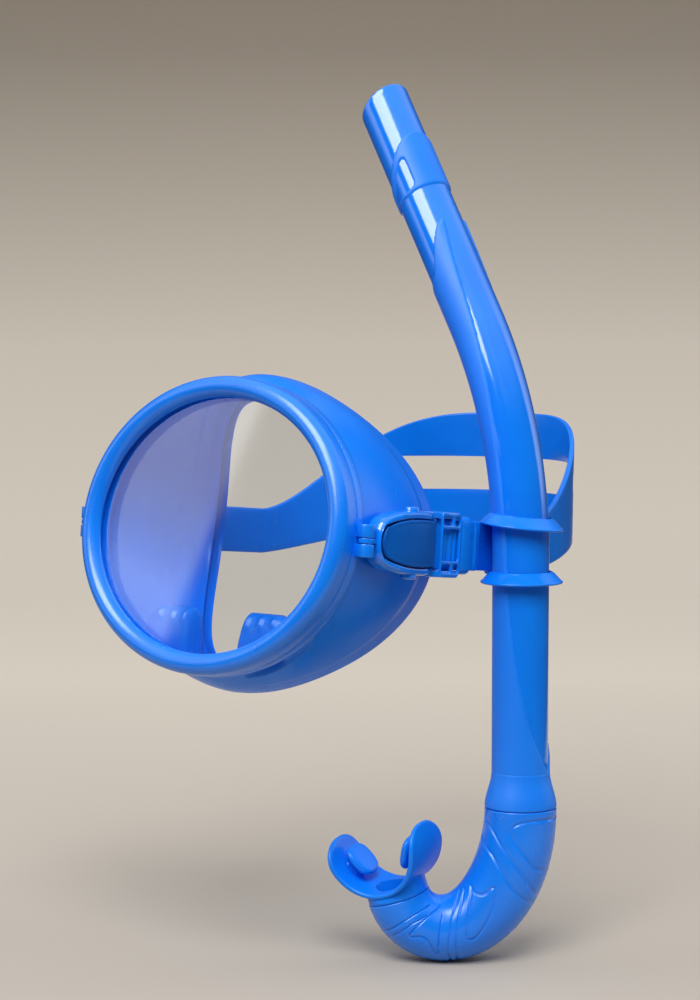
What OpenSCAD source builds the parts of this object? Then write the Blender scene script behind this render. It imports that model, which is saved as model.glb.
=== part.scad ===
// Diving mask with one oval lens, a soft skirt, quick-release strap buckles and a bent snorkel.
// Millimetres, +Z up, the mask faces -Y, the snorkel is on the +X side (the wearer's left).
// The origin is the middle of the face seal, where the wearer's head holds the mask.

/* [Lens and bezel] */
// Clear width of the lens opening
open_w = 135; // [122:1:148]
// Clear height of the lens opening
open_h = 114; // [104:1:124]
// Width of the rounded bead round the opening
bead_w = 9.5; // [9:0.25:12]
// How far the bead stands in front of the lens
bead_front = 6; // [4:0.5:8]
// Depth of the bezel wall behind the front of the lens
bezel_back = 4.5; // [3:0.25:6]
// Thickness of the lens
lens_t = 3.5; // [2.5:0.25:5]
// How far the lens reaches under the bead
lens_lap = 3; // [2:0.25:3.5]
// Thickness of the skirt's gasket round the edge of the lens
gasket_t = 2.2; // [1.6:0.2:2.6]
// Depth of the rear clamp ring
frame_depth = 4.8; // [4:0.2:7]
// How far the top of the lens leans back, in degrees
mask_pitch = 11.5; // [0:0.5:16]
// Distance from the lens to the middle of the face seal
mask_reach = 45; // [38:1:55]

/* [Skirt] */
// Width of the skirt's rear edge
skirt_w = 140; // [128:1:146]
// Height of the skirt's rear edge
skirt_h = 143; // [130:1:152]
// Depth of the skirt at the temples
skirt_side = 73; // [60:1:78]
// Depth of the skirt at the forehead
skirt_top = 22; // [18:1:30]
// Depth of the skirt under the nose
skirt_bottom = 30; // [26:1:36]
// Wall of the skirt
skirt_wall = 2.2; // [1.6:0.2:3]
// Width of the seal that turns in at the rear edge
seal_w = 12; // [8:1:16]
// How deep the two finger wells reach up beside the nose
well_depth = 23; // [14:1:26]
// Angle of each finger well from the middle of the skirt, in degrees
well_angle = 21; // [17:1:26]

/* [Strap] */
// Width of the strap at the sides
strap_w = 22; // [18:1:26]
// Thickness of the strap
strap_t = 2.4; // [1.8:0.2:3]
// Height of the ribs on the strap ends
rib_h = 0.8; // [0.4:0.1:1]
// Distance between the ribs on the strap ends
rib_pitch = 3.2; // [2.6:0.2:4.4]
// How far the strap slopes down behind the buckles, in degrees
strap_pitch = 5.5; // [0:0.5:9]
// Width of the strap at the back of the head, both bands together
back_w = 58; // [44:1:70]
// Height of the middle of the strap at the back of the head
back_z = 14; // [0:1:24]
// Distance from the face seal to the back of the strap
back_y = 184; // [165:1:195]
// Height of the split between the two bands
split_h = 17; // [10:1:22]
// Length of the split between the two bands
split_w = 128; // [90:2:136]

/* [Buckles] */
// Distance of each buckle's hinge pin out from the bezel
hinge_out = 5; // [4:0.25:12]
// Radius of the hinge pins
hinge_r = 1.5; // [1:0.1:2]
// Height of the hinge lug on the frame
lug_h = 14; // [11:0.5:18]
// Length of the buckle housing from the hinge pin
buckle_len = 43; // [40:0.5:48]
// Height of the buckle housing
buckle_w = 28.5; // [28:0.5:34]
// Length of the strap cage behind the housing
cage_len = 15; // [14:0.5:19]
// Thickness of the press pad
pad_t = 3; // [2.4:0.2:4]
// Radius of the pin that the press pad rocks on
lever_pin_r = 1.2; // [0.8:0.1:1.4]
// Radius of the bar that the strap turns round
bar_r = 1.8; // [1.4:0.1:2.2]
// Length of the strap loop along the strap
loop_len = 7; // [5:0.5:8]
// Wall of the strap loop
loop_wall = 1.4; // [1:0.1:1.8]

/* [Snorkel] */
// Distance of the snorkel's axis out from the hinge pins
snorkel_x = 15; // [14:0.5:28]
// Distance of the snorkel's axis behind the face seal
snorkel_y = 53; // [50:0.5:60]
// Radius of the hard tube
tube_r = 12.3; // [11:0.1:13]
// Radius of the airway
airway_r = 10; // [8:0.1:10.4]
// Thickness of the matte sleeve and band
sleeve_t = 0.8; // [0.4:0.1:1.2]
// Height at which the tube starts to bend
bend_z = -14; // [-24:1:10]
// Radius of the tube's bend
bend_r = 198; // [160:1:260]
// Angle of the tube's bend, in degrees
bend_angle = 32; // [15:1:40]
// Heading of the bend round the vertical, in degrees from +X
bend_heading = 170; // [150:1:190]
// Length of the straight tube above the bend
top_len = 117; // [105:0.5:130]
// Slant of the tip, in degrees
tip_slant = 18; // [0:1:35]
// Slant of the band's edges and of the sleeve's top, in degrees
band_slant = 50; // [20:1:55]
// Distance of the matte band's lower edge below the tip
band_low = 55; // [50:0.5:64]
// Distance of the matte band's upper edge below the tip
band_high = 39; // [30:0.5:44]
// Height of the seam between the tube and the elbow
seam_z = -128; // [-140:1:-115]
// Height of the flared collar at the tube's foot
collar_h = 16; // [10:1:22]
// Radius of the flared collar at the seam
collar_r = 16.2; // [15:0.1:18]
// Radius of the flared rings on the keeper
ring_r = 18.5; // [16.5:0.1:20]

/* [Elbow and mouthpiece] */
// Radius of the spigot at the tube's foot
spigot_r = 12; // [11.2:0.1:13]
// Length of the spigot at the tube's foot
spigot_len = 12; // [8:1:16]
// Sideways reach of the elbow to its lowest point
elbow_reach = 35; // [31:1:40]
// Drop of the elbow's axis below the seam
elbow_drop = 55; // [50:1:65]
// Radius of the elbow's upward turn
turn_r = 20.5; // [19:0.5:24]
// Angle of the elbow's upward turn, in degrees
turn_angle = 73; // [60:1:80]
// Heading of the elbow round the vertical, in degrees from +X
elbow_heading = 219; // [200:1:240]
// Radius of the elbow at its outlet
outlet_r = 14.2; // [13.4:0.1:15]
// Radius of the lip flange
flange_r = 23.5; // [22:0.5:28]
// Height of the lip flange
flange_h = 28; // [24:1:32]
// Thickness of the lip flange
flange_t = 2.2; // [1.6:0.2:3]
// Turn of the mouthpiece on its spigot, in degrees
mouth_turn = 32; // [0:1:60]
// Angle of each bite tab round the flange from its middle, in degrees
tab_angle = 62; // [56:1:68]
// Radius of the lug at the end of each bite tab
lug_r = 7.5; // [6:0.25:8.5]
// Thickness of the lug at the end of each bite tab
lug_t = 3.5; // [2.5:0.25:4]
// Gap for the teeth between each lug and the flange
bite_w = 4.5; // [3.5:0.25:5]

/* [Hidden] */
$fn = 64;
// Clearances: between seated pieces, between bodies that move apart, and round turning pins
seat_gap = 0.2;
move_gap = 0.3;
pin_gap = 0.05;
// The straight top tube is this much slimmer than the bend, and runs this far into it
join_step = 0.12;
join_lap = 1;
oval_steps = 72;

// Section of the mask, as distance out from the lens opening and depth behind the lens's front
lip_t = 1;
lens_front = seat_gap;
lens_back = lens_front + lens_t;
flange_front = lens_back + seat_gap;
flange_back = flange_front + skirt_wall;
wall_in = lens_lap + gasket_t + 2 * seat_gap;
frame_front = bezel_back + seat_gap;
frame_back = frame_front + frame_depth;
frame_inset = 0.5;
frame_out = bead_w - frame_inset;
shoulder_inset = 0.8;
shoulder = bead_w - shoulder_inset;
gasket_in = lens_lap + seat_gap;
gasket_out = wall_in - seat_gap;
skirt_front = frame_back + seat_gap;
skirt_belly = 1.5;
// Shares of the skirt's depth: the face seal, and the fine seam in front of it
seal_share = 0.06;
seam_share = 0.003;
// Half the width of a finger well, in degrees, and its middle and reach as shares of the skirt's depth
well_half = 15;
well_at = 0.45;
well_reach = 0.4;
lens_y = -mask_reach;

// Place of each hinge pin, seen along the lens and then in the part's frame
hinge_x = open_w / 2 + bead_w + hinge_out;
hinge_set = 1.3;
hinge_depth = frame_front + hinge_set;
hinge_drop = 1.8;
hinge_y = lens_y + hinge_depth * cos(mask_pitch) - hinge_drop * sin(mask_pitch);
hinge_z = -hinge_depth * sin(mask_pitch) - hinge_drop * cos(mask_pitch);
knuckle_wall = 2.1;
knuckle_r = hinge_r + knuckle_wall;
tongue_h = 2.2;

// Buckle sizes across the strap, outwards from the hinge pin and along the strap
cheek_in = strap_w / 2 + move_gap;
run_in = bar_r + seat_gap;
run_out = run_in + strap_t;
body_in = -run_out - seat_gap;
floor_x = -0.6;
nose_gap = 0.7;
body_front = knuckle_r + nose_gap;
bar_y = buckle_len + run_out + move_gap;
cage_back = buckle_len + cage_len;
plate_x = run_out + rib_h + move_gap;
plate_t = 1.5;
rim_drop = 0.6;
body_out = plate_x + plate_t - rim_drop;
pad_gap = 0.5;
pad_x = run_out + pad_gap;
lever_y = 27;
lever_x = 2.6;
lever_wall = 1.2;
lever_knuckle_r = lever_pin_r + lever_wall;
ear_wall = 2.2;
ear_r = lever_pin_r + ear_wall;
ear_out = 1.6;
rim_t = 2.4;
loop_room = 0.8;
loop_y = cage_back + loop_room;
tail_spare = 8.8;
tail_end = loop_y + loop_len + tail_spare;
tail_gap = 0.5;
strap_start = tail_end + tail_gap;
strap_x = hinge_x - run_in - strap_t / 2;
spring_wire = 0.35;
spring_r = lever_pin_r + spring_wire + move_gap;
spring_turns = 4;

// Strap round the back of the head: straight for a while behind the snorkel, then an oval
straight_run = 26;
split_drop = 2;
curve_y = snorkel_y + straight_run;
keeper_z = strap_height(snorkel_y);
curve_z = strap_height(curve_y);

// Snorkel: its axis, the place where the bend ends and the slanted cuts' direction
tube_x = hinge_x + snorkel_x;
arc_x = bend_r * (1 - cos(bend_angle));
arc_z = bend_z + bend_r * sin(bend_angle);
tip_heading = 168;
band_heading = 150;
sleeve_r = tube_r + sleeve_t;
top_r = tube_r - join_step;
sleeve_foot = seam_z + collar_h;
sleeve_end = 37;
keeper_gap = 0.08;
keeper_bore = sleeve_r + keeper_gap;
// The keeper's block stands behind the tube, from here to there along the head
keeper_front = snorkel_y + 1;
keeper_rear = snorkel_y + 9;
ring_off = 1.5;
ring_z = strap_w / 2 + ring_off;
ring_root = 4.4;
ring_tip = 1.2;
// Above the start of the bend the keeper's bore is wider, so that the bent tube can turn in it
keeper_top = keeper_z + ring_z + ring_root / 2;
bend_room = pow(max(0, keeper_top - bend_z), 2) / (2 * bend_r);
web_t = 2.2;

// Elbow: the outlet's place in the elbow's own plane
elbow_top = seam_z - move_gap;
elbow_low = elbow_top - elbow_drop;
outlet_x = elbow_reach + turn_r * sin(turn_angle);
outlet_z = elbow_low + turn_r * (1 - cos(turn_angle));
elbow_rings = [26, 14];
elbow_sides = 28;
elbow_step = 0.4;
elbow_airway = airway_r - elbow_step;
outlet_wall = 3.2;
mouth_spigot_r = outlet_r - outlet_wall;
mouth_spigot_len = 8;
mouth_wall = 2.6;
mouth_airway = mouth_spigot_r - mouth_wall;

silicone = "royalblue";
shell = "dodgerblue";
gloss = "deepskyblue";
steel = "silver";

// Height of the strap's middle at a given place behind the face seal, along the straight side
function strap_height(y) = hinge_z - (y - hinge_y) * tan(strap_pitch);

function mix(a, b, s) = a + (b - a) * s;

// A smooth hump that is 1 at x = 0 and 0 from x = 1 outwards
function hump(x) = abs(x) < 1 ? pow(1 - x * x, 2) : 0;

// A smooth step from 0 to 1
function ease(x) = x <= 0 ? 0 : x >= 1 ? 1 : x * x * (3 - 2 * x);

// A point of the mask's oval rings: [distance out from the opening, depth]
function oval_point(t, p) = [(open_w / 2 + p[0]) * cos(t), p[1], (open_h / 2 + p[0]) * sin(t)];

// Triangles between neighbouring loops of points; each loop and the row of loops may close
function loop_faces(loops, size, closed) = [
    for (i = [0 : loops - (closed ? 1 : 2)], j = [0 : size - 1])
        let (a = i * size + j, b = i * size + (j + 1) % size)
        let (c = ((i + 1) % loops) * size + j, d = ((i + 1) % loops) * size + (j + 1) % size)
        each [[a, c, b], [b, c, d]]
];

module oval_ring(profile) {
    points = [for (i = [0 : oval_steps - 1], p = profile) oval_point(i * 360 / oval_steps, p)];
    polyhedron(points, loop_faces(oval_steps, len(profile), true));
}

// Stacked closed loops of points with flat ends
module loft(loops) {
    count = len(loops);
    size = len(loops[0]);
    ends = [
        [for (j = [0 : size - 1]) j],
        [for (j = [size - 1 : -1 : 0]) (count - 1) * size + j]
    ];
    polyhedron([for (l = loops) each l], concat(ends, loop_faces(count, size, false)));
}

// Places the lens's own axes, leaning back in the part's frame
module lens_frame() {
    translate([0, lens_y, 0])
        rotate([-mask_pitch, 0, 0])
            children();
}

// Places one side's strap axes at its hinge pin: x outwards, y along the strap, z across it
module strap_frame(side) {
    mirror([side < 0 ? 1 : 0, 0, 0])
        translate([hinge_x, hinge_y, hinge_z])
            rotate([-strap_pitch, 0, 0])
                children();
}

// Extrudes an outline drawn along and across the strap, from one distance out to another
module outwards(x0, x1) {
    translate([x0, 0, 0])
        rotate([90, 0, 90])
            linear_extrude(x1 - x0)
                children();
}

module lens() {
    color("lightcyan", 0.4)
        lens_frame()
            translate([0, lens_back, 0])
                rotate([90, 0, 0])
                    linear_extrude(lens_t)
                        polygon([
                            for (i = [0 : oval_steps - 1])
                                let (p = oval_point(i * 360 / oval_steps, [lens_lap, 0]))
                                [p[0], p[2]]
                        ]);
}

module bezel() {
    bead = [
        for (a = [0 : 15 : 180])
            [bead_w / 2 * (1 - cos(a)), -lip_t - (bead_front - lip_t) * sin(a)]
    ];
    wall = [[bead_w, bezel_back], [wall_in, bezel_back], [wall_in, 0], [0, 0]];
    color(shell)
        lens_frame()
            oval_ring(concat(bead, wall));
}

module frame() {
    ring = [[wall_in, frame_front], [frame_out, frame_front], [frame_out, frame_back], [wall_in, frame_back]];
    lug_t = 2.6;
    lug_sink = 1.5;
    lug_in = hinge_out + frame_inset + lug_sink;
    color(shell) {
        lens_frame()
            oval_ring(ring);
        for (side = [-1, 1])
            strap_frame(side)
                difference() {
                    for (end = [-1, 1])
                        mirror([0, 0, end < 0 ? 1 : 0])
                            translate([0, 0, tongue_h / 2 + move_gap]) {
                                height = (lug_h - tongue_h) / 2 - move_gap;
                                cylinder(r = knuckle_r, h = height);
                                translate([-lug_in, 0, 0])
                                    cube([lug_in, lug_t, height]);
                            }
                    translate([0, 0, -lug_h])
                        cylinder(r = hinge_r + seat_gap / 10, h = 2 * lug_h);
                }
    }
}

// Depth of the skirt's rear edge, round the oval
function skirt_rear(t) =
    let (side = pow(abs(cos(t)), 1.6))
    mix((skirt_top + skirt_bottom) / 2 + (skirt_top - skirt_bottom) / 2 * sin(t), skirt_side, side);

// How far the finger wells push the skirt in, round the oval and from front to rear
function well_push(t, s) =
    well_depth * hump((abs(t - 270) - well_angle) / well_half) * hump((s - well_at) / well_reach);

// A point of the skirt's wall: share of the way to the rear edge, and distance in from its outside
function skirt_point(t, q) =
    let (s = q[0])
    let (grow = skirt_belly * sin(180 * s) - q[1] - well_push(t, s))
    [
        (mix(open_w / 2 + shoulder, skirt_w / 2, s) + grow) * cos(t),
        mix(skirt_front, skirt_rear(t), s),
        (mix(open_h / 2 + shoulder, skirt_h / 2, s) + grow) * sin(t)
    ];

// The front of the skirt, which wraps the edge of the lens
module lens_gasket() {
    lip_in = 0.6;
    color(silicone)
        lens_frame()
            oval_ring([
                [gasket_out, skirt_front], [gasket_out, lens_front], [gasket_in, lens_front],
                [gasket_in, flange_front], [lip_in, flange_front], [lip_in, flange_back],
                [gasket_in, flange_back], [gasket_in, skirt_front]
            ]);
}

// Rings round the oval whose sections are made of skirt points
module skirt_ring(profile) {
    points = [for (i = [0 : oval_steps - 1], q = profile) skirt_point(i * 360 / oval_steps, q)];
    polyhedron(points, loop_faces(oval_steps, len(profile), true));
}

module skirt() {
    steps = [0.08, 0.2, 0.32, 0.45, 0.58, 0.7, 0.84, 1 - seal_share];
    inside = [for (s = steps) [s, skirt_wall]];
    outside = [for (i = [len(steps) - 1 : -1 : 0]) [steps[i], 0]];
    color(silicone)
        lens_frame()
            skirt_ring(concat([[0, shoulder - gasket_in]], inside, outside, [[0, 0]]));
}

// The soft rear edge of the skirt, turned in against the face
module face_seal() {
    round_edge = 0.4;
    start = 1 - seal_share + seam_share;
    color(silicone)
        lens_frame()
            skirt_ring([
                [start, skirt_wall], [0.95, seal_w], [0.98, seal_w],
                [1, skirt_wall], [0.995, round_edge], [start, 0]
            ]);
}

// One cross-section of the strap: place and outward direction in plan, height, width and lean
function strap_section(x, y, out, z, w, lean) = [
    for (corner = [[1, 1], [1, -1], [-1, -1], [-1, 1]])
        [
            x + corner[0] * strap_t / 2 * out[0],
            y + corner[0] * strap_t / 2 * out[1] + corner[1] * w / 2 * sin(lean),
            z + corner[1] * w / 2 * cos(lean)
        ]
];

// The strap's section at an angle round the back of the head, from 0 on the left to 180 on the right
function back_section(t) =
    let (rise = ease(sin(t)))
    let (reach = back_y - strap_t / 2 - curve_y)
    let (out = [cos(t) * reach, sin(t) * strap_x])
    strap_section(
        strap_x * cos(t), curve_y + reach * sin(t), out / norm(out),
        mix(curve_z, back_z, rise), mix(strap_w, back_w, rise), strap_pitch * (1 - rise)
    );

function side_section(side, y) =
    strap_section(side * strap_x, y, [side, 0], strap_height(y), strap_w, strap_pitch);

module head_strap() {
    start_y = hinge_y + strap_start * cos(strap_pitch);
    round_back = [for (t = [0 : 5 : 180]) back_section(t)];
    loops = concat([side_section(1, start_y)], round_back, [side_section(-1, start_y)]);
    rib_first = strap_start + 1;
    // the ribs end well before the keeper's block, clear of its rings
    ring_room = 10;
    rib_count = floor((snorkel_y - ring_room - start_y) / rib_pitch);
    color(silicone) {
        difference() {
            loft(loops);
            translate([0, curve_y, back_z - split_drop])
                rotate([-90, 0, 0])
                    linear_extrude(back_y)
                        for (end = [-1, 1]) {
                            translate([end * (split_w - split_h) / 2, 0])
                                circle(d = split_h);
                            square([split_w - split_h, split_h], center = true);
                        }
        }
        for (side = [-1, 1], i = [0 : 1 : rib_count - 1])
            strap_frame(side)
                strap_rib(-run_in, rib_first + i * rib_pitch);
    }
}

// A rib across the outside of the strap, at a distance out and along
module strap_rib(x, y) {
    sink = 0.1;
    margin = 1;
    translate([x - sink, y, margin - strap_w / 2])
        cube([rib_h + sink, rib_pitch / 2, strap_w - 2 * margin]);
}

// Outline of the buckle housing, along and across the strap, drawn in by a margin
module buckle_outline(margin) {
    side_r = 62;
    side_away = side_r - buckle_w / 2;
    widest_y = lever_y + 3;
    nose_r = 15;
    nose_y = body_front + nose_r;
    intersection() {
        translate([widest_y, -side_away])
            circle(r = side_r - margin);
        translate([widest_y, side_away])
            circle(r = side_r - margin);
        union() {
            translate([nose_y, 0])
                circle(r = nose_r - margin);
            translate([nose_y, -buckle_w])
                square([buckle_len - nose_y - margin, 2 * buckle_w]);
        }
    }
}

module buckle_body() {
    cheek_out = buckle_w / 2;
    cheek_t = cheek_out - cheek_in;
    cheek_root = 6;
    tongue_t = 3;
    tongue_root = 2;
    frame_margin = 4;
    window = 3;
    window_h = 2.4;
    window_in = 1.4;
    pad_room = 20;
    color(shell)
        difference() {
            union() {
                difference() {
                    outwards(body_in, body_out)
                        buckle_outline(0);
                    outwards(floor_x, body_out + 1)
                        buckle_outline(rim_t);
                    // room for the rear of the press pad
                    translate([pad_x - pad_gap, buckle_len - cheek_root, 2 - cheek_in])
                        cube([pad_room, pad_room, 2 * cheek_in - 4]);
                }
                cylinder(r = knuckle_r - seat_gap, h = tongue_h, center = true);
                translate([-tongue_t / 2, 0, -tongue_h / 2])
                    cube([tongue_t, body_front + tongue_root, tongue_h]);
                for (end = [-1, 1])
                    mirror([0, 0, end < 0 ? 1 : 0])
                        translate([lever_x, lever_y, cheek_out - rim_t])
                            cylinder(r = ear_r, h = rim_t + ear_out);
                for (end = [-1, 1])
                    mirror([0, 0, end < 0 ? 1 : 0])
                        translate([body_in, buckle_len - cheek_root, cheek_in])
                            cube([plate_x + plate_t - body_in, cage_len + cheek_root, cheek_t]);
                // outer plate of the cage, with the strap window and two small windows each side
                difference() {
                    translate([plate_x, buckle_len + 1, -cheek_out])
                        cube([plate_t, cage_len - 1, 2 * cheek_out]);
                    translate([plate_x - 1, buckle_len, frame_margin - strap_w / 2])
                        cube([plate_t + 2, cage_len - 2, strap_w - 2 * frame_margin]);
                    for (end = [-1, 1], i = [0, 1])
                        translate([plate_x - 1, buckle_len + frame_margin + i * 2 * window, 0])
                            translate([0, 0, end * (cheek_in - window_in) - window_h / 2])
                                cube([plate_t + 2, window, window_h]);
                }
            }
            translate([0, 0, -lug_h])
                cylinder(r = hinge_r + pin_gap, h = 2 * lug_h);
            translate([lever_x, lever_y, -buckle_w])
                cylinder(r = lever_pin_r + seat_gap / 10, h = 2 * buckle_w);
            translate([0, bar_y, -cheek_out - 1])
                cylinder(r = bar_r + seat_gap / 10, h = 2 * cheek_out + 2);
        }
}

module hinge_pin() {
    color(steel)
        cylinder(r = hinge_r, h = lug_h - 2 * seat_gap, center = true);
}

module lever() {
    knuckle_from = 4;
    knuckle_to = cheek_in - 3;
    crown_r = 110;
    color(silicone)
        difference() {
            union() {
                intersection() {
                    outwards(pad_x, pad_x + pad_t)
                        buckle_outline(rim_t + 2 * seat_gap);
                    translate([pad_x + pad_t - crown_r, lever_y, -buckle_w])
                        cylinder(r = crown_r, h = 2 * buckle_w, $fn = 256);
                }
                for (end = [-1, 1])
                    mirror([0, 0, end < 0 ? 1 : 0])
                        translate([lever_x, lever_y, knuckle_from]) {
                            cylinder(r = lever_knuckle_r, h = knuckle_to - knuckle_from);
                            translate([0, -lever_knuckle_r, 0])
                                cube([pad_x - lever_x + 1, 2 * lever_knuckle_r, knuckle_to - knuckle_from]);
                        }
            }
            translate([lever_x, lever_y, -buckle_w])
                cylinder(r = lever_pin_r + pin_gap, h = 2 * buckle_w);
        }
}

module lever_pin() {
    color(steel)
        translate([lever_x, lever_y, 0])
            cylinder(r = lever_pin_r, h = buckle_w + 2 * ear_out - 1, center = true);
}

module lever_spring() {
    rings = 12 * spring_turns;
    pitch = 2 * (spring_wire + move_gap);
    sides = 6;
    loops = [
        for (i = [0 : rings])
            let (a = i * 360 * spring_turns / rings, z = (i / rings - 0.5) * pitch * spring_turns)
            [
                for (j = [0 : sides - 1])
                    let (r = spring_r + spring_wire * cos(j * 360 / sides))
                    [r * cos(a), r * sin(a), z + spring_wire * sin(j * 360 / sides)]
            ]
    ];
    color(steel)
        translate([lever_x, lever_y, 0])
            loft(loops);
}

module strap_bar() {
    color(steel)
        translate([0, bar_y, 0])
            cylinder(r = bar_r, h = buckle_w - 2 * move_gap, center = true);
}

module strap_tail() {
    rib_first = bar_y + 3;
    rib_count = floor((tail_end - rib_first) / rib_pitch);
    color(silicone) {
        difference() {
            translate([0, bar_y, -strap_w / 2])
                union() {
                    cylinder(r = run_out, h = strap_w);
                    translate([-run_out, 0, 0])
                        cube([2 * run_out, tail_end - bar_y, strap_w]);
                }
            translate([0, bar_y, -strap_w]) {
                cylinder(r = run_in, h = 2 * strap_w);
                translate([-run_in, 0, 0])
                    cube([2 * run_in, tail_end, 2 * strap_w]);
            }
        }
        for (i = [0 : 1 : rib_count - 1])
            strap_rib(run_out, rib_first + i * rib_pitch);
    }
}

module strap_loop() {
    gap = move_gap;
    inner = [2 * run_out + rib_h + 2 * gap, loop_len + 2, strap_w + 2 * gap];
    color(silicone)
        difference() {
            translate([-run_out - gap - loop_wall, loop_y, -inner[2] / 2 - loop_wall])
                cube([inner[0] + 2 * loop_wall, loop_len, inner[2] + 2 * loop_wall]);
            translate([-run_out - gap, loop_y - 1, -inner[2] / 2])
                cube(inner);
        }
}

// Places the snorkel's axes: z along the lower tube, x along the bend's heading
module snorkel_frame() {
    translate([tube_x, snorkel_y, 0])
        rotate([0, 0, bend_heading])
            children();
}

// Places the axes of the straight tube above the bend, z along it
module top_frame() {
    translate([arc_x, 0, arc_z])
        rotate([0, bend_angle, 0])
            children();
}

// Everything above a slanted plane across the top tube
module above_slant(s, slant, heading) {
    big = 120;
    top_frame()
        translate([0, 0, s])
            rotate([0, 0, heading - bend_heading])
                rotate([0, slant, 0])
                    translate([-big / 2, -big / 2, 0])
                        cube([big, big, 2 * big]);
}

// A bent tube from a height at its foot to a distance above the bend
module bent_tube(r, foot, top) {
    translate([0, 0, foot])
        rotate([0, 0, 180])
            cylinder(r = r, h = bend_z - foot);
    translate([bend_r, 0, bend_z])
        rotate([90, 0, 180])
            rotate_extrude(angle = bend_angle, $fn = 72)
                translate([bend_r, 0])
                    circle(r = r);
    top_frame()
        translate([0, 0, -join_lap])
            cylinder(r = r - join_step, h = top + join_lap);
}

module snorkel_keeper() {
    block_in = strap_x - strap_t / 2 - move_gap - web_t;
    slot_in = strap_x - strap_t / 2 - move_gap;
    block_lap = 4;
    ring_lap = 2;
    through = 4 * ring_r;
    color(silicone)
        translate([0, 0, keeper_z])
            difference() {
                union() {
                    for (end = [-1, 1])
                        translate([tube_x, snorkel_y, end * ring_z])
                            rotate_extrude()
                                polygon([
                                    [keeper_bore - ring_lap, -ring_root / 2],
                                    [ring_r, -ring_root / 2 - ring_tip / 2],
                                    [ring_r, -ring_root / 2 + ring_tip / 2],
                                    [keeper_bore - ring_lap, ring_root / 2]
                                ]);
                    translate([block_in, keeper_front, -ring_z - ring_root / 2])
                        cube([
                            tube_x - block_in - block_lap, keeper_rear - keeper_front,
                            2 * ring_z + ring_root
                        ]);
                }
                translate([slot_in, snorkel_y, 0])
                    rotate([-strap_pitch, 0, 0])
                        translate([0, -through / 2, -strap_w / 2 - move_gap])
                            cube([strap_t + 2 * move_gap, through, strap_w + 2 * move_gap]);
                translate([tube_x, snorkel_y, 0]) {
                    cylinder(r = keeper_bore, h = through, center = true);
                    translate([0, 0, bend_z - keeper_z])
                        cylinder(r = keeper_bore + bend_room + seat_gap, h = through);
                }
            }
}

module barrel() {
    spare = 20;
    color(gloss)
        snorkel_frame()
            difference() {
                union() {
                    bent_tube(tube_r, seam_z, top_len + spare);
                    translate([0, 0, seam_z])
                        cylinder(r1 = collar_r, r2 = sleeve_r, h = collar_h);
                    translate([0, 0, seam_z - spigot_len])
                        cylinder(r = spigot_r, h = spigot_len + 1);
                }
                bent_tube(airway_r, seam_z - spigot_len - 1, top_len + 2 * spare);
                above_slant(top_len, tip_slant, tip_heading);
            }
}

// The long leaf-shaped window in the sleeve, on the side away from the head
module leaf_window() {
    leaf_heading = 323;
    leaf_top = 62;
    leaf_dip = 8;
    leaf_foot = sleeve_foot - leaf_dip;
    leaf_w = 19;
    leaf_reach = 60;
    half = (leaf_top - leaf_foot) / 2;
    arc_r = (half * half + leaf_w * leaf_w / 4) / leaf_w;
    rotate([0, 0, leaf_heading - bend_heading])
        rotate([90, 0, 90])
            translate([0, leaf_foot + half, 0])
                linear_extrude(leaf_reach)
                    intersection() {
                        translate([arc_r - leaf_w / 2, 0])
                            circle(r = arc_r, $fn = 256);
                        translate([leaf_w / 2 - arc_r, 0])
                            circle(r = arc_r, $fn = 256);
                    }
}

module barrel_sleeve() {
    spare = 20;
    color(silicone)
        snorkel_frame()
            difference() {
                bent_tube(sleeve_r, sleeve_foot + seat_gap, sleeve_end + spare);
                bent_tube(tube_r + pin_gap, sleeve_foot - 1, sleeve_end + 2 * spare);
                above_slant(sleeve_end, band_slant, band_heading);
                leaf_window();
            }
}

module top_band() {
    color(silicone)
        snorkel_frame()
            difference() {
                top_frame()
                    cylinder(r = top_r + sleeve_t, h = top_len);
                top_frame()
                    translate([0, 0, -1])
                        cylinder(r = top_r + pin_gap, h = top_len + 2);
                above_slant(top_len - band_high, band_slant, band_heading);
                difference() {
                    top_frame()
                        translate([0, 0, -1])
                            cylinder(r = 2 * sleeve_r, h = top_len);
                    above_slant(top_len - band_low, band_slant, band_heading);
                }
            }
}

// Places the elbow's axes: x along its sideways reach, z up, at the tube's axis
module elbow_frame() {
    translate([tube_x, snorkel_y, 0])
        rotate([0, 0, elbow_heading])
            children();
}

// Places the mouthpiece's axes: z out of the elbow's outlet, x across the mouth
module mouth_frame() {
    elbow_frame()
        translate([outlet_x, 0, outlet_z])
            rotate([0, 90 - turn_angle, 0])
                rotate([0, 0, -mouth_turn])
                    children();
}

// The elbow's axis as [x, z, direction x, direction z], down to its lowest point and up again
function elbow_down(t) = [
    elbow_reach * (1 - cos(t)), elbow_top - elbow_drop * sin(t),
    elbow_reach * sin(t), -elbow_drop * cos(t)
];
function elbow_up(t) = [
    elbow_reach + turn_r * sin(t), elbow_low + turn_r * (1 - cos(t)),
    cos(t), sin(t)
];
function elbow_axis() = concat(
    [for (i = [0 : elbow_rings[0]]) elbow_down(i * 90 / elbow_rings[0])],
    [for (i = [1 : elbow_rings[1]]) elbow_up(i * turn_angle / elbow_rings[1])]
);

// A ring of points square to the elbow's axis
function elbow_ring(c, r) =
    let (d = [c[2], c[3]] / norm([c[2], c[3]]))
    [
        for (j = [0 : elbow_sides - 1])
            let (a = j * 360 / elbow_sides)
            [c[0] + r * cos(a) * d[1], r * sin(a), c[1] - r * cos(a) * d[0]]
    ];

// Outer radius of the elbow along its axis, fullest in its upper half
function elbow_radius(s) = mix(collar_r, outlet_r, ease(s * 1.1 - 0.1)) + 0.5 * hump((s - 0.3) / 0.3);

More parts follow.
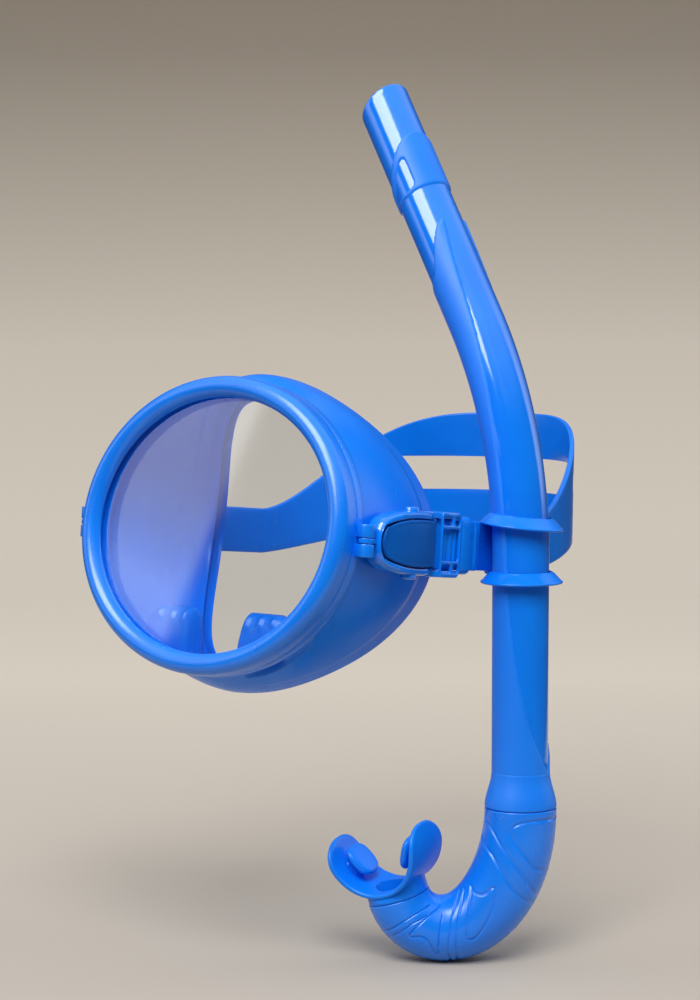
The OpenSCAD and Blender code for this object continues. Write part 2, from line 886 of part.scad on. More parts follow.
module elbow() {
    axis = elbow_axis();
    last = len(axis) - 1;
    color(silicone)
        difference() {
            elbow_frame()
                difference() {
                    loft([for (i = [0 : last]) elbow_ring(axis[i], elbow_radius(i / last))]);
                    loft([for (i = [2 : 2 : last]) elbow_ring(axis[i], elbow_airway)]);
                    translate([0, 0, elbow_top - spigot_len - 1])
                        cylinder(r = spigot_r + pin_gap, h = spigot_len + 2);
                }
            mouth_frame()
                translate([0, 0, -mouth_spigot_len - 1])
                    cylinder(r = mouth_spigot_r + pin_gap, h = mouth_spigot_len + 2);
        }
}

// Section of the lip flange, filled: a half round with straight arms
module flange_form(r, middle, arm_len) {
    translate([0, middle]) {
        circle(r = r);
        translate([-r, 0])
            square([2 * r, arm_len]);
    }
}

module mouthpiece() {
    collar_t = 3;
    collar_out = 3;
    corner_r = 12.5;
    arm_len = 5;
    neck_w = 9;
    neck_h = 6;
    neck_lap = 1;
    airway_spare = 6;
    flange_mid = collar_t + flange_r;
    flange_top = flange_mid + arm_len;
    color(silicone)
        mouth_frame()
            difference() {
                union() {
                    translate([0, 0, -mouth_spigot_len])
                        cylinder(r = mouth_spigot_r, h = mouth_spigot_len + collar_t + 1);
                    translate([0, 0, move_gap])
                        cylinder(r = mouth_spigot_r + collar_out, h = collar_t + 1);
                    intersection() {
                        rotate([90, 0, 0])
                            linear_extrude(flange_h, center = true)
                                difference() {
                                    flange_form(flange_r, flange_mid, arm_len);
                                    flange_form(flange_r - flange_t, flange_mid, arm_len);
                                }
                        rotate([90, 0, 90])
                            linear_extrude(3 * flange_r, center = true) {
                                translate([-flange_h / 2, 0])
                                    square([flange_h, flange_top - corner_r]);
                                translate([corner_r - flange_h / 2, 0])
                                    square([flange_h - 2 * corner_r, flange_top]);
                                for (end = [-1, 1])
                                    translate([end * (flange_h / 2 - corner_r), flange_top - corner_r])
                                        circle(r = corner_r);
                            }
                    }
                    // bite tabs: a neck from the flange's inside, with a round lug at its end
                    translate([0, 0, flange_mid])
                        for (end = [-1, 1])
                            rotate([0, end * tab_angle, 0]) {
                                translate([-neck_w / 2, -neck_h / 2, flange_t / 2 - flange_r])
                                    cube([neck_w, neck_h, flange_t / 2 + bite_w + neck_lap]);
                                translate([0, 0, flange_t + bite_w - flange_r])
                                    cylinder(r = lug_r, h = lug_t);
                            }
                }
                translate([0, 0, -mouth_spigot_len - 1])
                    cylinder(r = mouth_airway, h = mouth_spigot_len + collar_t + airway_spare);
            }
}

lens();
lens_gasket();
bezel();
frame();
skirt();
face_seal();
head_strap();
strap_frame(1) buckle_body();  // left_buckle_body
strap_frame(1) hinge_pin();  // left_hinge_pin
strap_frame(1) lever();  // left_lever
strap_frame(1) lever_pin();  // left_lever_pin
strap_frame(1) lever_spring();  // left_lever_spring
strap_frame(1) strap_bar();  // left_strap_bar
strap_frame(1) strap_tail();  // left_strap_tail
strap_frame(1) strap_loop();  // left_strap_loop
strap_frame(-1) buckle_body();  // right_buckle_body
strap_frame(-1) hinge_pin();  // right_hinge_pin
strap_frame(-1) lever();  // right_lever
strap_frame(-1) lever_pin();  // right_lever_pin
strap_frame(-1) lever_spring();  // right_lever_spring
strap_frame(-1) strap_bar();  // right_strap_bar
strap_frame(-1) strap_tail();  // right_strap_tail
strap_frame(-1) strap_loop();  // right_strap_loop
snorkel_keeper();
barrel();
barrel_sleeve();
top_band();
elbow();
mouthpiece();
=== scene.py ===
import math

import bmesh
import bpy
import numpy as np
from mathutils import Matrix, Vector


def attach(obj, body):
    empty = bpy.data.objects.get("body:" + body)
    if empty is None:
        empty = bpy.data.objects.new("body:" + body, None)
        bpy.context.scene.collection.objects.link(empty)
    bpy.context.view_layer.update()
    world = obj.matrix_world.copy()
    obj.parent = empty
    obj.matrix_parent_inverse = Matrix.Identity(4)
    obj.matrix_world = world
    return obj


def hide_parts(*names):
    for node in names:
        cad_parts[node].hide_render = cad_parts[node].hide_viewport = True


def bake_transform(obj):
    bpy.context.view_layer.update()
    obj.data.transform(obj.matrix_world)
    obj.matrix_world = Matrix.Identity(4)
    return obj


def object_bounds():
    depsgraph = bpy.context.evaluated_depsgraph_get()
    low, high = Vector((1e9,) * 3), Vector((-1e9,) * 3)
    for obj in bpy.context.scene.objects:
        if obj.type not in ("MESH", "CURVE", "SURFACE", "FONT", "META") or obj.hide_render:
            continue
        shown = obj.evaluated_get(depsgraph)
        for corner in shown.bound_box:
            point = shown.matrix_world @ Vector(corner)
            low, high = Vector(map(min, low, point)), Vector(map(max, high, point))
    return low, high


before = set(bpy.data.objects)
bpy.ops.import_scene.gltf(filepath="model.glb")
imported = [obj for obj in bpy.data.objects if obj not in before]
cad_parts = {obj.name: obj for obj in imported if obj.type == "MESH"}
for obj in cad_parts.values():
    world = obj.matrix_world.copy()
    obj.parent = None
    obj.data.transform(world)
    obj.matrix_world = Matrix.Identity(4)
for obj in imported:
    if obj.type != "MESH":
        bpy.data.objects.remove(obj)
cad_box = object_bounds()
MM = 0.001
TINY = 1e-6

# Camera: where it stands, in metres, and how it looks
CAMERA_AT = (0.7655, -0.8944, 0.0909)
AZIMUTH = 39
ELEVATION = 4
FOCAL = 93.6
SENSOR = 36

# Mask, as distance out from the lens opening and depth behind the lens's front
OPEN_W = 135
OPEN_H = 114
LENS_Y = -45
LENS_LEAN = math.radians(11.5)
BEAD_W = 9.5
BEAD_FRONT = 6
BEAD_FOOT = 0.6
LIP = 1
BEZEL_BACK = 4.5
WALL_IN = 5.6
FRAME_FRONT = 4.7
FRAME_BACK = 9.5
FRAME_STEP = 0.15
GASKET_FRONT = 0.2
GASKET_IN = 3.2
GASKET_OUT = 5.4
LENS_BACK = 3.9
FLANGE_BACK = 6.1
SHOULDER = 8.7
SKIRT_FRONT = 9.7
SKIRT_W = 140
SKIRT_H = 143
SKIRT_WALL = 2.2
SKIRT_BELLY = 1.5
SKIRT_SIDE = 73
SKIRT_TOP = 22
SKIRT_BOTTOM = 30
SKIRT_POWER = 1.6
SEAL_W = 12
SEAL_DEPTH = 6.6
SEAL_SHARE = 0.16
STRIP_W = 13
STRIP_STEP = 1.1

# Finger wells: edges, lengths over which their flanks rise, ribs, and the slot that leads in from outside
WELL_TOP = -35.5
WELL_IN = (15.0, 12.5)
WELL_OUT = 41
WELL_REAR = 19.5
WELL_INNER_FLANK = 4.5
WELL_OUTER_FLANK = 8
WELL_FRONT_FLANK = 9
WELL_REAR_FLANK = 5
WELL_LEAN = 3.2
WELL_RIBS = (18.5, 26, 33.5)
WELL_RIB_HALF = 1.5
WELL_RIB_FORWARD = 0.9
WELL_RIB_UP = 0.5
SLOT_MIDDLE = (38, 12)
SLOT_HALF = (19, 3.8)
SLOT_HEIGHT = (6, 1.6)
SLOT_STEP_AT = 34
SLOT_STEP_W = 7

# Strap and buckles, in axes at the hinge pin: x outwards, y along the strap, z across it
HINGE = (82, -39.479, -2.960)
HINGE_GAP = 0.3
STRAP_LEAN = math.radians(5.5)
STRAP_W = 22
STRAP_T = 2.4
STRAP_GAP = 0.3
RIB_H = 0.8
RIB_VALLEY = 0.4
RIB_PITCH = 3.2
RIB_MARGIN = 0.9
RIB_FADE = 0.6
RIBS_END = 84
RUN_X = 3.2
BAR_Y = 47.7
TAIL_END = 73.4
# Two places along the strap's end: behind the loop's last place, and before the keeper
BLEND_START = 73.5
BLEND_END = 80.0
BODY_IN = -4.6
BODY_OUT = 6.4
BODY_REAR = 4.3
FLOOR_X = -0.6
BUCKLE_LEN = 43
BUCKLE_W = 28.5
RIM_T = 1.7
RIM_SIDE = 3.4
NOSE_DROP = 2.4
PAD_GAP = 0.35
PAD_IN = 4.9
PAD_OUT = 7.9
PAD_CROWN_R = 70
PIVOT = (2.6, 27)
EAR_R = 3.4
EAR_IN = 11.6
EAR_OUT = 15.85
EAR_ROUND = 0.9
BOSS_R = 2.4
CHEEK_IN = 11.3
CHEEK_FRONT = 37
CAGE_FRONT = 44
CAGE_BACK = 58
PLATE = (5.5, 7.0)
LOOP = (58.8, 65.8)
LOOP_WALL = 1.4
KNUCKLE_R = 3.6
LUG_HALF = 7
TONGUE_HALF = 1.1
TONGUE_T = 3
TONGUE_END = 6.3

# Strap round the back of the head
CURVE_Y = 79
BACK_REACH = 103.8
STRAP_X = 78.8
BACK_Z = 14
BACK_W = 58
SPLIT_W = 128
SPLIT_H = 17
SPLIT_Z = 12

# Snorkel: u runs along the tube's axis and equals the height below the bend
TUBE_AT = (97, 53)
BEND_HEADING = math.radians(170)
BEND_Z = -14
BEND_R = 198
BEND_ANGLE = math.radians(32)
TOP_LEN = 117
TUBE_R = 12.3
BORE_R = 10
SLEEVE_T = 0.8
SEAM_Z = -128
COLLAR_H = 16
COLLAR_R = 16.2
COLLAR_TOP = SEAM_Z + COLLAR_H
SPIGOT_R = 12
SPIGOT_LEN = 12
TIP_U = BEND_Z + BEND_R * BEND_ANGLE + TOP_LEN
TIP_SLANT = math.radians(18)
TIP_TURN = 39
TIP_ROUND = 1.2
TIP_RUN = 45
FRONT_TURN = 139
KEEPER_Z = -11.865
KEEPER_BORE = 13.3
KEEPER_HALF = 12.6
KEEPER_WALL = 2.2
KEEPER_REACH = 4
KEEPER_DEPTH = (1, 9)
RING_OFF = 12.5
RING_R = 18.5
RING_HALF = 2.5
RING_FLARE = 2.2
RING_SKEW = 0.1

# Elbow and mouthpiece
ELBOW_HEADING = math.radians(219)
ELBOW_TOP = -128.3
ELBOW_REACH = 35
ELBOW_DROP = 55
ELBOW_BELLY = 0.5
ELBOW_BORE = 9.6
SOCKET_SHARE = 0.128
SPIGOT_FIT = 0.1
GROOVE_DEPTH = 0.6
GROOVE_HALF = 0.85
TURN_R = 20.5
TURN_ANGLE = math.radians(73)
OUTLET_R = 14.2
DOWN_SHARE = 0.65
MOUTH_TURN = math.radians(32)
FLANGE_R = 23.5
FLANGE_T = 2.2
FLANGE_H = 28
FLANGE_MID = 26.5
FLANGE_CORNER = 12.5
FLANGE_ARM = 5
FLANGE_ROUND = 1.2
MOUTH_SPIGOT_R = 11
MOUTH_SPIGOT_LEN = 8
MOUTH_COLLAR_R = 14
MOUTH_BORE = 8.4
TAB_ANGLE = math.radians(62)
TAB_NECK = (4.6, 3.1)
TAB_FLARE = 1.6
TAB_TEETH = 9
TAB_TOOTH = 0.35
LUG_R = 7.5
LUG_T = 3.5
BITE_W = 4.5


def mix(a, b, s):
    return a + (b - a) * s


def ease(x):
    x = np.clip(x, 0, 1)
    return x * x * (3 - 2 * x)


def hump(x):
    return (1 - np.clip(np.abs(x), 0, 1) ** 2) ** 2


def soft_min(a, b, k):
    h = np.clip(0.5 + 0.5 * (b - a) / k, 0, 1)
    return mix(b, a, h) - k * h * (1 - h)


def turn(x, y, angle):
    """x and y turned about the origin."""
    return x * math.cos(angle) - y * math.sin(angle), x * math.sin(angle) + y * math.cos(angle)


def xyz(x, y, z):
    """Points from their coordinates, some of which may be single numbers."""
    return np.stack(np.broadcast_arrays(x, y, z), -1)


def full_turn(count):
    """Angles round a full turn, in equal steps."""
    return np.arange(count) * 2 * math.pi / count


def curve(x, xs, ys):
    """A smooth line through points, by cubic pieces with gentle slopes."""
    xs, ys = np.array(xs, float), np.array(ys, float)
    slopes = np.gradient(ys, xs)
    k = np.clip(np.searchsorted(xs, x) - 1, 0, len(xs) - 2)
    h = xs[k + 1] - xs[k]
    s = np.clip((x - xs[k]) / h, 0, 1)
    a = (1 + 2 * s) * (1 - s) ** 2
    b = s * (1 - s) ** 2
    c = s * s * (3 - 2 * s)
    d = s * s * (s - 1)
    return a * ys[k] + b * h * slopes[k] + c * ys[k + 1] + d * h * slopes[k + 1]


# Places of the sub-parts: each takes an array of points in its own axes
def lens_place(p):
    y, z = turn(p[..., 1], p[..., 2], -LENS_LEAN)
    return xyz(p[..., 0], LENS_Y + y, z)


def strap_place(side):
    def place(p):
        y, z = turn(p[..., 1], p[..., 2], -STRAP_LEAN)
        return xyz(side * (HINGE[0] + p[..., 0]), HINGE[1] + y, HINGE[2] + z)
    return place


def heading_place(heading):
    def place(p):
        x, y = turn(p[..., 0], p[..., 1], heading)
        return xyz(TUBE_AT[0] + x, TUBE_AT[1] + y, p[..., 2])
    return place


snorkel_place = heading_place(BEND_HEADING)
elbow_place = heading_place(ELBOW_HEADING)


def mouth_place(p):
    lean = math.pi / 2 - TURN_ANGLE
    outlet_x = ELBOW_REACH + TURN_R * math.sin(TURN_ANGLE)
    outlet_z = ELBOW_TOP - ELBOW_DROP + TURN_R * (1 - math.cos(TURN_ANGLE))
    x, y = turn(p[..., 0], p[..., 1], -MOUTH_TURN)
    z, x = turn(p[..., 2], x, lean)
    return elbow_place(xyz(outlet_x + x, y, outlet_z + z))


# Meshes: a shell is an array of points and a list of faces
def grid(points, wrap_rows=False, wrap_cols=False, caps=False):
    rows, cols = points.shape[:2]
    r, c = np.meshgrid(
        np.arange(rows if wrap_rows else rows - 1),
        np.arange(cols if wrap_cols else cols - 1), indexing="ij")
    r2 = (r + 1) % rows
    c2 = (c + 1) % cols
    corners = [r * cols + c, r * cols + c2, r2 * cols + c2, r2 * cols + c]
    faces = np.stack(corners, -1).reshape(-1, 4).tolist()
    if caps:
        faces.append(list(range(cols))[::-1])
        faces.append([(rows - 1) * cols + j for j in range(cols)])
    return points.reshape(-1, 3), faces


def closed(rows):
    """A shell that closes on itself both ways."""
    return grid(np.array(rows), wrap_rows=True, wrap_cols=True)


def capped(loops):
    """A shell through closed loops, with flat ends."""
    return grid(np.array(loops), wrap_cols=True, caps=True)


def merge(*shells):
    points, faces, start = [], [], 0
    for p, f in shells:
        points.append(p)
        faces += [[i + start for i in face] for face in f]
        start += len(p)
    return np.concatenate(points), faces


def moved(shell, place):
    return place(shell[0]), shell[1]


def mesh_object(name, shell, sharp=38):
    mesh = bpy.data.meshes.new(name)
    mesh.from_pydata((shell[0] * MM).tolist(), [], shell[1])
    bm = bmesh.new()
    bm.from_mesh(mesh)
    bmesh.ops.remove_doubles(bm, verts=bm.verts, dist=TINY)
    bmesh.ops.recalc_face_normals(bm, faces=bm.faces)
    bm.to_mesh(mesh)
    bm.free()
    obj = bpy.data.objects.new(name, mesh)
    bpy.context.scene.collection.objects.link(obj)
    smooth(obj, sharp)
    return obj


def smooth(obj, sharp=38):
    obj.data.shade_smooth()
    obj.data.set_sharp_from_angle(angle=math.radians(sharp))


def apply_modifiers(obj, sharp=38):
    """Replaces the object's mesh by the one that its modifiers give."""
    graph = bpy.context.evaluated_depsgraph_get()
    mesh = bpy.data.meshes.new_from_object(obj.evaluated_get(graph))
    obj.modifiers.clear()
    obj.data = mesh
    smooth(obj, sharp)
    return obj


def boolean(obj, other, operation):
    modifier = obj.modifiers.new("cut", "BOOLEAN")
    modifier.operation = operation
    modifier.solver = "EXACT"
    modifier.object = other
    apply_modifiers(obj)
    bpy.data.objects.remove(other)


def bevel(obj, width, angle=35, segments=2):
    modifier = obj.modifiers.new("round", "BEVEL")
    modifier.width = width * MM
    modifier.segments = segments
    modifier.limit_method = "ANGLE"
    modifier.angle_limit = math.radians(angle)
    apply_modifiers(obj)


def dress(obj, material, nodes, body=None):
    """Gives a piece its finish and the body that it rides on, and hides the solids that it stands for."""
    obj.data.materials.clear()
    obj.data.materials.append(material)
    if body:
        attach(obj, body)
    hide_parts(*nodes)


def arc(centre, radius, start, end, steps):
    """Points along an arc; the radius is a number, or a pair on an oval arc."""
    rx, ry = np.broadcast_to(radius, 2)
    a = np.radians(np.linspace(start, end, steps + 1))
    return [(centre[0] + rx * math.cos(x), centre[1] + ry * math.sin(x)) for x in a]


def rectangle(x0, x1, y0, y1):
    return [(x0, y0), (x1, y0), (x1, y1), (x0, y1)]


def rounded(points, radii, steps=6):
    """A closed outline with its corners rounded."""
    count = len(points)
    points = [np.array(p, float) for p in points]
    radii = np.broadcast_to(radii, count)
    outline = []
    for i, p in enumerate(points):
        a = points[i - 1] - p
        b = points[(i + 1) % count] - p
        a /= np.linalg.norm(a)
        b /= np.linalg.norm(b)
        half = 0.5 * math.acos(np.clip(a @ b, -1, 1))
        reach = radii[i] / math.tan(half)
        centre = p + (a + b) / np.linalg.norm(a + b) * radii[i] / math.sin(half)
        start = p + a * reach - centre
        end = p + b * reach - centre
        sweep = math.pi - 2 * half
        sign = 1 if start[0] * end[1] - start[1] * end[0] > 0 else -1
        for k in range(steps + 1):
            outline.append(centre + np.array(turn(start[0], start[1], sign * sweep * k / steps)))
    return np.array(outline)


def normals(outline):
    """Outward directions along a closed outline."""
    after = np.roll(outline, -1, 0)
    ahead = after - np.roll(outline, 1, 0)
    ahead /= np.linalg.norm(ahead, axis=1)[:, None]
    out = np.stack([ahead[:, 1], -ahead[:, 0]], -1)
    area = np.sum(outline[:, 0] * after[:, 1] - after[:, 0] * outline[:, 1])
    return out if area > 0 else -out


def prism(outline, low, high, edge, axes):
    """An outline extruded with rounded rims; axes says where its two axes and the depth go."""
    out = normals(outline)
    steps = np.linspace(0, math.pi / 2, 4)
    rims = [(edge * (1 - math.sin(a)), low + edge * (1 - math.cos(a))) for a in steps]
    rims += [(edge * (1 - math.sin(a)), high - edge * (1 - math.cos(a))) for a in steps[::-1]]
    loops = []
    for margin, depth in rims:
        ring = np.zeros((len(outline), 3))
        ring[:, axes[0]] = outline[:, 0] - out[:, 0] * margin
        ring[:, axes[1]] = outline[:, 1] - out[:, 1] * margin
        ring[:, axes[2]] = depth
        loops.append(ring)
    return capped(loops)


def prism_pair(outline, near, far, edge):
    """An outline extruded across the strap, on both sides of its middle."""
    ends = [sorted((end * near, end * far)) for end in (-1, 1)]
    return [prism(np.array(outline), low, high, edge, (0, 1, 2)) for low, high in ends]


def plate(outlines, low, high, edge, axes):
    """An outline with holes, extruded from low to high with rounded rims."""
    filled = bpy.data.curves.new("plate", "CURVE")
    filled.dimensions = "2D"
    filled.fill_mode = "BOTH"
    filled.extrude = ((high - low) / 2 - edge) * MM
    filled.bevel_depth = edge * MM
    filled.bevel_resolution = 2
    filled.offset = -edge * MM
    for outline in outlines:
        spline = filled.splines.new("POLY")
        spline.points.add(len(outline) - 1)
        flat = np.zeros((len(outline), 4))
        flat[:, :2] = outline * MM
        flat[:, 3] = 1
        spline.points.foreach_set("co", flat.ravel())
        spline.use_cyclic_u = True
    obj = bpy.data.objects.new("plate", filled)
    bpy.context.scene.collection.objects.link(obj)
    graph = bpy.context.evaluated_depsgraph_get()
    mesh = bpy.data.meshes.new_from_object(obj.evaluated_get(graph))
    flat = np.array([v.co for v in mesh.vertices]) / MM
    points = np.zeros_like(flat)
    points[:, axes[0]] = flat[:, 0]
    points[:, axes[1]] = flat[:, 1]
    points[:, axes[2]] = flat[:, 2] + (low + high) / 2
    faces = [list(p.vertices) for p in mesh.polygons]
    bpy.data.objects.remove(obj)
    return points, faces


# Nodes of materials and of the world
def set_inputs(tree, node, inputs):
    """Gives a node's inputs a value each, or another node's output."""
    for name, value in inputs.items():
        if isinstance(value, bpy.types.NodeSocket):
            tree.links.new(value, node.inputs[name])
        else:
            node.inputs[name].default_value = value


def add_node(tree, kind, inputs, operation=None):
    node = tree.nodes.new(kind)
    if operation:
        node.operation = operation
    set_inputs(tree, node, inputs)
    return node


def combine(tree, operation, *values):
    """One value from several, taken together two by two."""
    result = values[0]
    for value in values[1:]:
        result = add_node(tree, "ShaderNodeMath", {0: result, 1: value}, operation).outputs["Value"]
    return result


def map_range(tree, value, source, result, soft_ends=False):
    """Maps a value from one range to another, held at its ends."""
    node = add_node(tree, "ShaderNodeMapRange", {
        "Value": value, "From Min": source[0], "From Max": source[1],
        "To Min": result[0], "To Max": result[1]})
    if soft_ends:
        node.interpolation_type = "SMOOTHSTEP"
    return node.outputs["Result"]


def along(tree, vector, direction):
    """How far a vector reaches in a direction."""
    return add_node(tree, "ShaderNodeVectorMath", {0: vector, 1: direction}, "DOT_PRODUCT").outputs["Value"]


def noise(tree, scale, detail=4):
    """A noise texture in the object's own coordinates."""
    place = tree.nodes.new("ShaderNodeTexCoord")
    inputs = {"Vector": place.outputs["Object"], "Scale": scale, "Detail": detail}
    return add_node(tree, "ShaderNodeTexNoise", inputs).outputs["Fac"]


def tones(tree, value, first, last, *others):
    """Colours that a value runs through, each with its place."""
    node = add_node(tree, "ShaderNodeValToRGB", {"Fac": value})
    elements = node.color_ramp.elements
    for element, (place, colour) in zip(elements, (first, last)):
        element.position = place
        element.color = (*colour, 1)
    for place, colour in others:
        elements.new(place).color = (*colour, 1)
    return node.outputs["Color"]


def new_material(name):
    material = bpy.data.materials.new(name)
    material.use_nodes = True
    return material, material.node_tree


# Materials: sizes of their patterns as noise scales, and the grain's height in metres
TONE_SCALE = 45
ROUGH_SCALE = 120
GRAIN_HEIGHT = 0.0002
COAT_ROUGH = 0.08
BLUE = (0.002, 0.195, 0.88)
BLUE_LIGHT = (0.003, 0.215, 0.92)
PAD_BLUE = (0.001, 0.09, 0.42)
PAD_LIGHT = (0.001, 0.10, 0.46)
STEEL = (0.52, 0.53, 0.55)
STEEL_LIGHT = (0.62, 0.63, 0.65)
GLASS_TINT = (0.965, 0.985, 1.0, 1)
GLASS_SCALE = 60
GLASS_ROUGH = (0.01, 0.05)
GLASS_MIRROR = (0.075, 1.0)
GLASS_STEEPNESS = 5


def finish_material(name, dark, light, rough, grain, coat=0.0, metallic=0.0, specular=0.5):
    """Two close tones, a roughness that varies and a fine grain: (size in mm, strength)."""
    material, tree = new_material(name)
    size, strength = grain
    bump = add_node(tree, "ShaderNodeBump", {
        "Strength": strength, "Distance": GRAIN_HEIGHT, "Height": noise(tree, 1 / (size * MM), 2)})
    set_inputs(tree, tree.nodes["Principled BSDF"], {
        "Base Color": tones(tree, noise(tree, TONE_SCALE), (0.35, dark), (0.65, light)),
        "Roughness": map_range(tree, noise(tree, ROUGH_SCALE), (0, 1), rough),
        "Normal": bump.outputs["Normal"],
        "Metallic": metallic,
        "Specular IOR Level": specular,
        "Coat Weight": coat,
        "Coat Roughness": COAT_ROUGH})
    return material


def glass_material():
    """Clear glass that lets the light through and mirrors more at a slant."""
    material, tree = new_material("lens_glass")
    tree.nodes.remove(tree.nodes["Principled BSDF"])
    clear = add_node(tree, "ShaderNodeBsdfTransparent", {"Color": GLASS_TINT})
    rough = map_range(tree, noise(tree, GLASS_SCALE), (0, 1), GLASS_ROUGH)
    mirror = add_node(tree, "ShaderNodeBsdfGlossy", {"Roughness": rough})
    slant = tree.nodes.new("ShaderNodeLayerWeight")
    steep = combine(tree, "POWER", slant.outputs["Facing"], GLASS_STEEPNESS)
    blend = add_node(tree, "ShaderNodeMixShader", {
        "Fac": map_range(tree, steep, (0, 1), GLASS_MIRROR),
        1: clear.outputs["BSDF"],
        2: mirror.outputs["BSDF"]})
    set_inputs(tree, tree.nodes["Material Output"], {"Surface": blend.outputs["Shader"]})
    return material


gloss = finish_material("gloss_blue", BLUE, BLUE_LIGHT, (0.10, 0.17), (0.6, 0.03), coat=0.6)
satin = finish_material("satin_blue", BLUE, BLUE_LIGHT, (0.22, 0.30), (0.5, 0.06), specular=0.65)
matte = finish_material("matte_blue", BLUE, BLUE_LIGHT, (0.45, 0.56), (0.35, 0.16))
silicone = finish_material("silicone_blue", BLUE, BLUE_LIGHT, (0.22, 0.30), (0.45, 0.06), specular=0.3)
pad_blue = finish_material("pad_blue", PAD_BLUE, PAD_LIGHT, (0.42, 0.5), (0.4, 0.14), specular=0.15)
steel = finish_material("steel", STEEL, STEEL_LIGHT, (0.2, 0.34), (0.3, 0.1), metallic=1.0)
glass = glass_material()


# Mask
def round_opening(profile, t):
    """Points round the lens opening from a profile of distances out and depths."""
    out, depth = np.array(profile, float).T
    return xyz((OPEN_W / 2 + out) * np.cos(t), depth, (OPEN_H / 2 + out) * np.sin(t))


def oval(profile):
    t = np.radians(np.arange(0, 360, 1.25))[:, None]
    return moved(closed(round_opening(profile, t)), lens_place)


def build_bezel():
    edge = 0.5
    bead = arc((BEAD_W / 2, -LIP), (BEAD_W / 2, BEAD_FRONT - LIP), 180, 360, 28)
    back = arc((BEAD_W - edge, BEZEL_BACK - edge), edge, 0, 90, 4)
    lens_seat = [(WALL_IN, BEZEL_BACK), (WALL_IN, 0), (1.0, 0), (0.9, -0.35), (0.25, -0.45)]
    shell = oval(bead + [(BEAD_W, BEAD_FOOT)] + back + lens_seat)
    dress(mesh_object("bezel_ring", shell), satin, ["bezel"], "mask")


def build_frame():
    edge = 0.45
    out = BEAD_W - FRAME_STEP
    ring = arc((out - edge, FRAME_FRONT + edge), edge, 270, 360, 4)
    ring += arc((out - edge, FRAME_BACK - edge), edge, 0, 90, 4)
    ring += [(WALL_IN, FRAME_BACK), (WALL_IN, FRAME_FRONT)]
    shells = [oval(ring)]
    # a lug is the round of its knuckle and the arm that joins it to the ring
    lug = [(0, -KNUCKLE_R)] + arc((0, 0), KNUCKLE_R, -75, 90, 14)
    lug += [(-3.2, 3.1), (-7, 2.6), (-7, 0), (-4.4, -1.2)]
    for side in (-1, 1):
        pair = prism_pair(lug, TONGUE_HALF + HINGE_GAP, LUG_HALF, edge)
        shells += [moved(block, strap_place(side)) for block in pair]
    dress(mesh_object("clamp_frame", merge(*shells)), satin, ["frame"], "mask")


def skirt_depth(t):
    ends = mix((SKIRT_TOP + SKIRT_BOTTOM) / 2, SKIRT_TOP, np.sin(t))
    return mix(ends, SKIRT_SIDE, np.abs(np.cos(t)) ** SKIRT_POWER)


def shoulder(x):
    """Rises from 0 to 1 with a steep foot and a round shoulder."""
    return (1 - (1 - np.clip(x, 0, 1)) ** 3) ** (1 / 3)


def raise_wells(points, inset):
    """Pushes the skirt's wall up into a finger well on each side of the nose, with ribs on its front."""
    x, depth, z = np.abs(points[..., 0]), points[..., 1], points[..., 2]
    inside = inset > SKIRT_WALL / 2
    back = np.clip((depth - SKIRT_FRONT) / (WELL_REAR - SKIRT_FRONT), 0, 1)
    share = shoulder((x - mix(*WELL_IN, back)) / WELL_INNER_FLANK)
    share = share * shoulder((WELL_OUT - x) / WELL_OUTER_FLANK)
    share = share * shoulder((depth - SKIRT_FRONT) / WELL_FRONT_FLANK)
    share = share * shoulder((WELL_REAR - depth) / WELL_REAR_FLANK)
    share = np.where((z < 0) & inside, share, 0)
    # the ribs lie on the upper part of the well's flanks
    rib = sum(np.exp(-((x - at) / WELL_RIB_HALF) ** 2) for at in WELL_RIBS) * hump((share - 0.8) / 0.2)
    # outside, an almond-shaped slot behind the frame leads into the well
    almond = 1 - ((x - SLOT_MIDDLE[0]) / SLOT_HALF[0]) ** 2 - ((depth - SLOT_MIDDLE[1]) / SLOT_HALF[1]) ** 2
    slot = mix(*SLOT_HEIGHT, ease((x - SLOT_STEP_AT) / SLOT_STEP_W)) * ease(1.3 * almond)
    slot = np.where((z < 0) & ~inside, slot, 0)
    raised = points.copy()
    raised[..., 1] -= WELL_LEAN * share * (1 - back) + WELL_RIB_FORWARD * rib
    raised[..., 2] = np.maximum(mix(z, np.maximum(z, WELL_TOP), share) + WELL_RIB_UP * rib, z + slot)
    return raised


def skirt_rows():
    """The skirt's wall from inside to outside: share of the depth, place before the rear edge, inset."""
    steep = [0.0, 0.002, 0.005, 0.010, 0.017, 0.026, 0.036, 0.048]
    inside = [(s, 0, SKIRT_WALL) for s in [*steep, *np.linspace(0.06, 0.80, 38)]]
    inner_lip = [
        (SEAL_DEPTH, SKIRT_WALL), (6.3, 2.6), (5.6, 6.5), (5.0, 9.2), (4.6, 9.5), (4.3, 9.2),
        (4.6, 6.5), (4.9, 2.8), (4.0, SKIRT_WALL)]
    outer_lip = [
        (3.0, 2.5), (2.2, 5.0), (1.7, 9.0), (1.6, SEAL_W - 0.3), (1.2, SEAL_W), (0.8, SEAL_W - 0.3),
        (0.6, 9.0), (0.2, 5.0), (0.0, 2.4), (0.1, 1.2), (0.5, 0.35), (1.1, 0)]
    lips = [(1, before, inset) for before, inset in inner_lip + outer_lip]
    outside = [(s, 0, 0) for s in [*np.linspace(0.97, 0.31, 26), *np.linspace(0.3, 0.0, 46)]]
    front_edge = [(0, -0.15, 0.5)]
    return np.array(inside + lips + outside + front_edge)


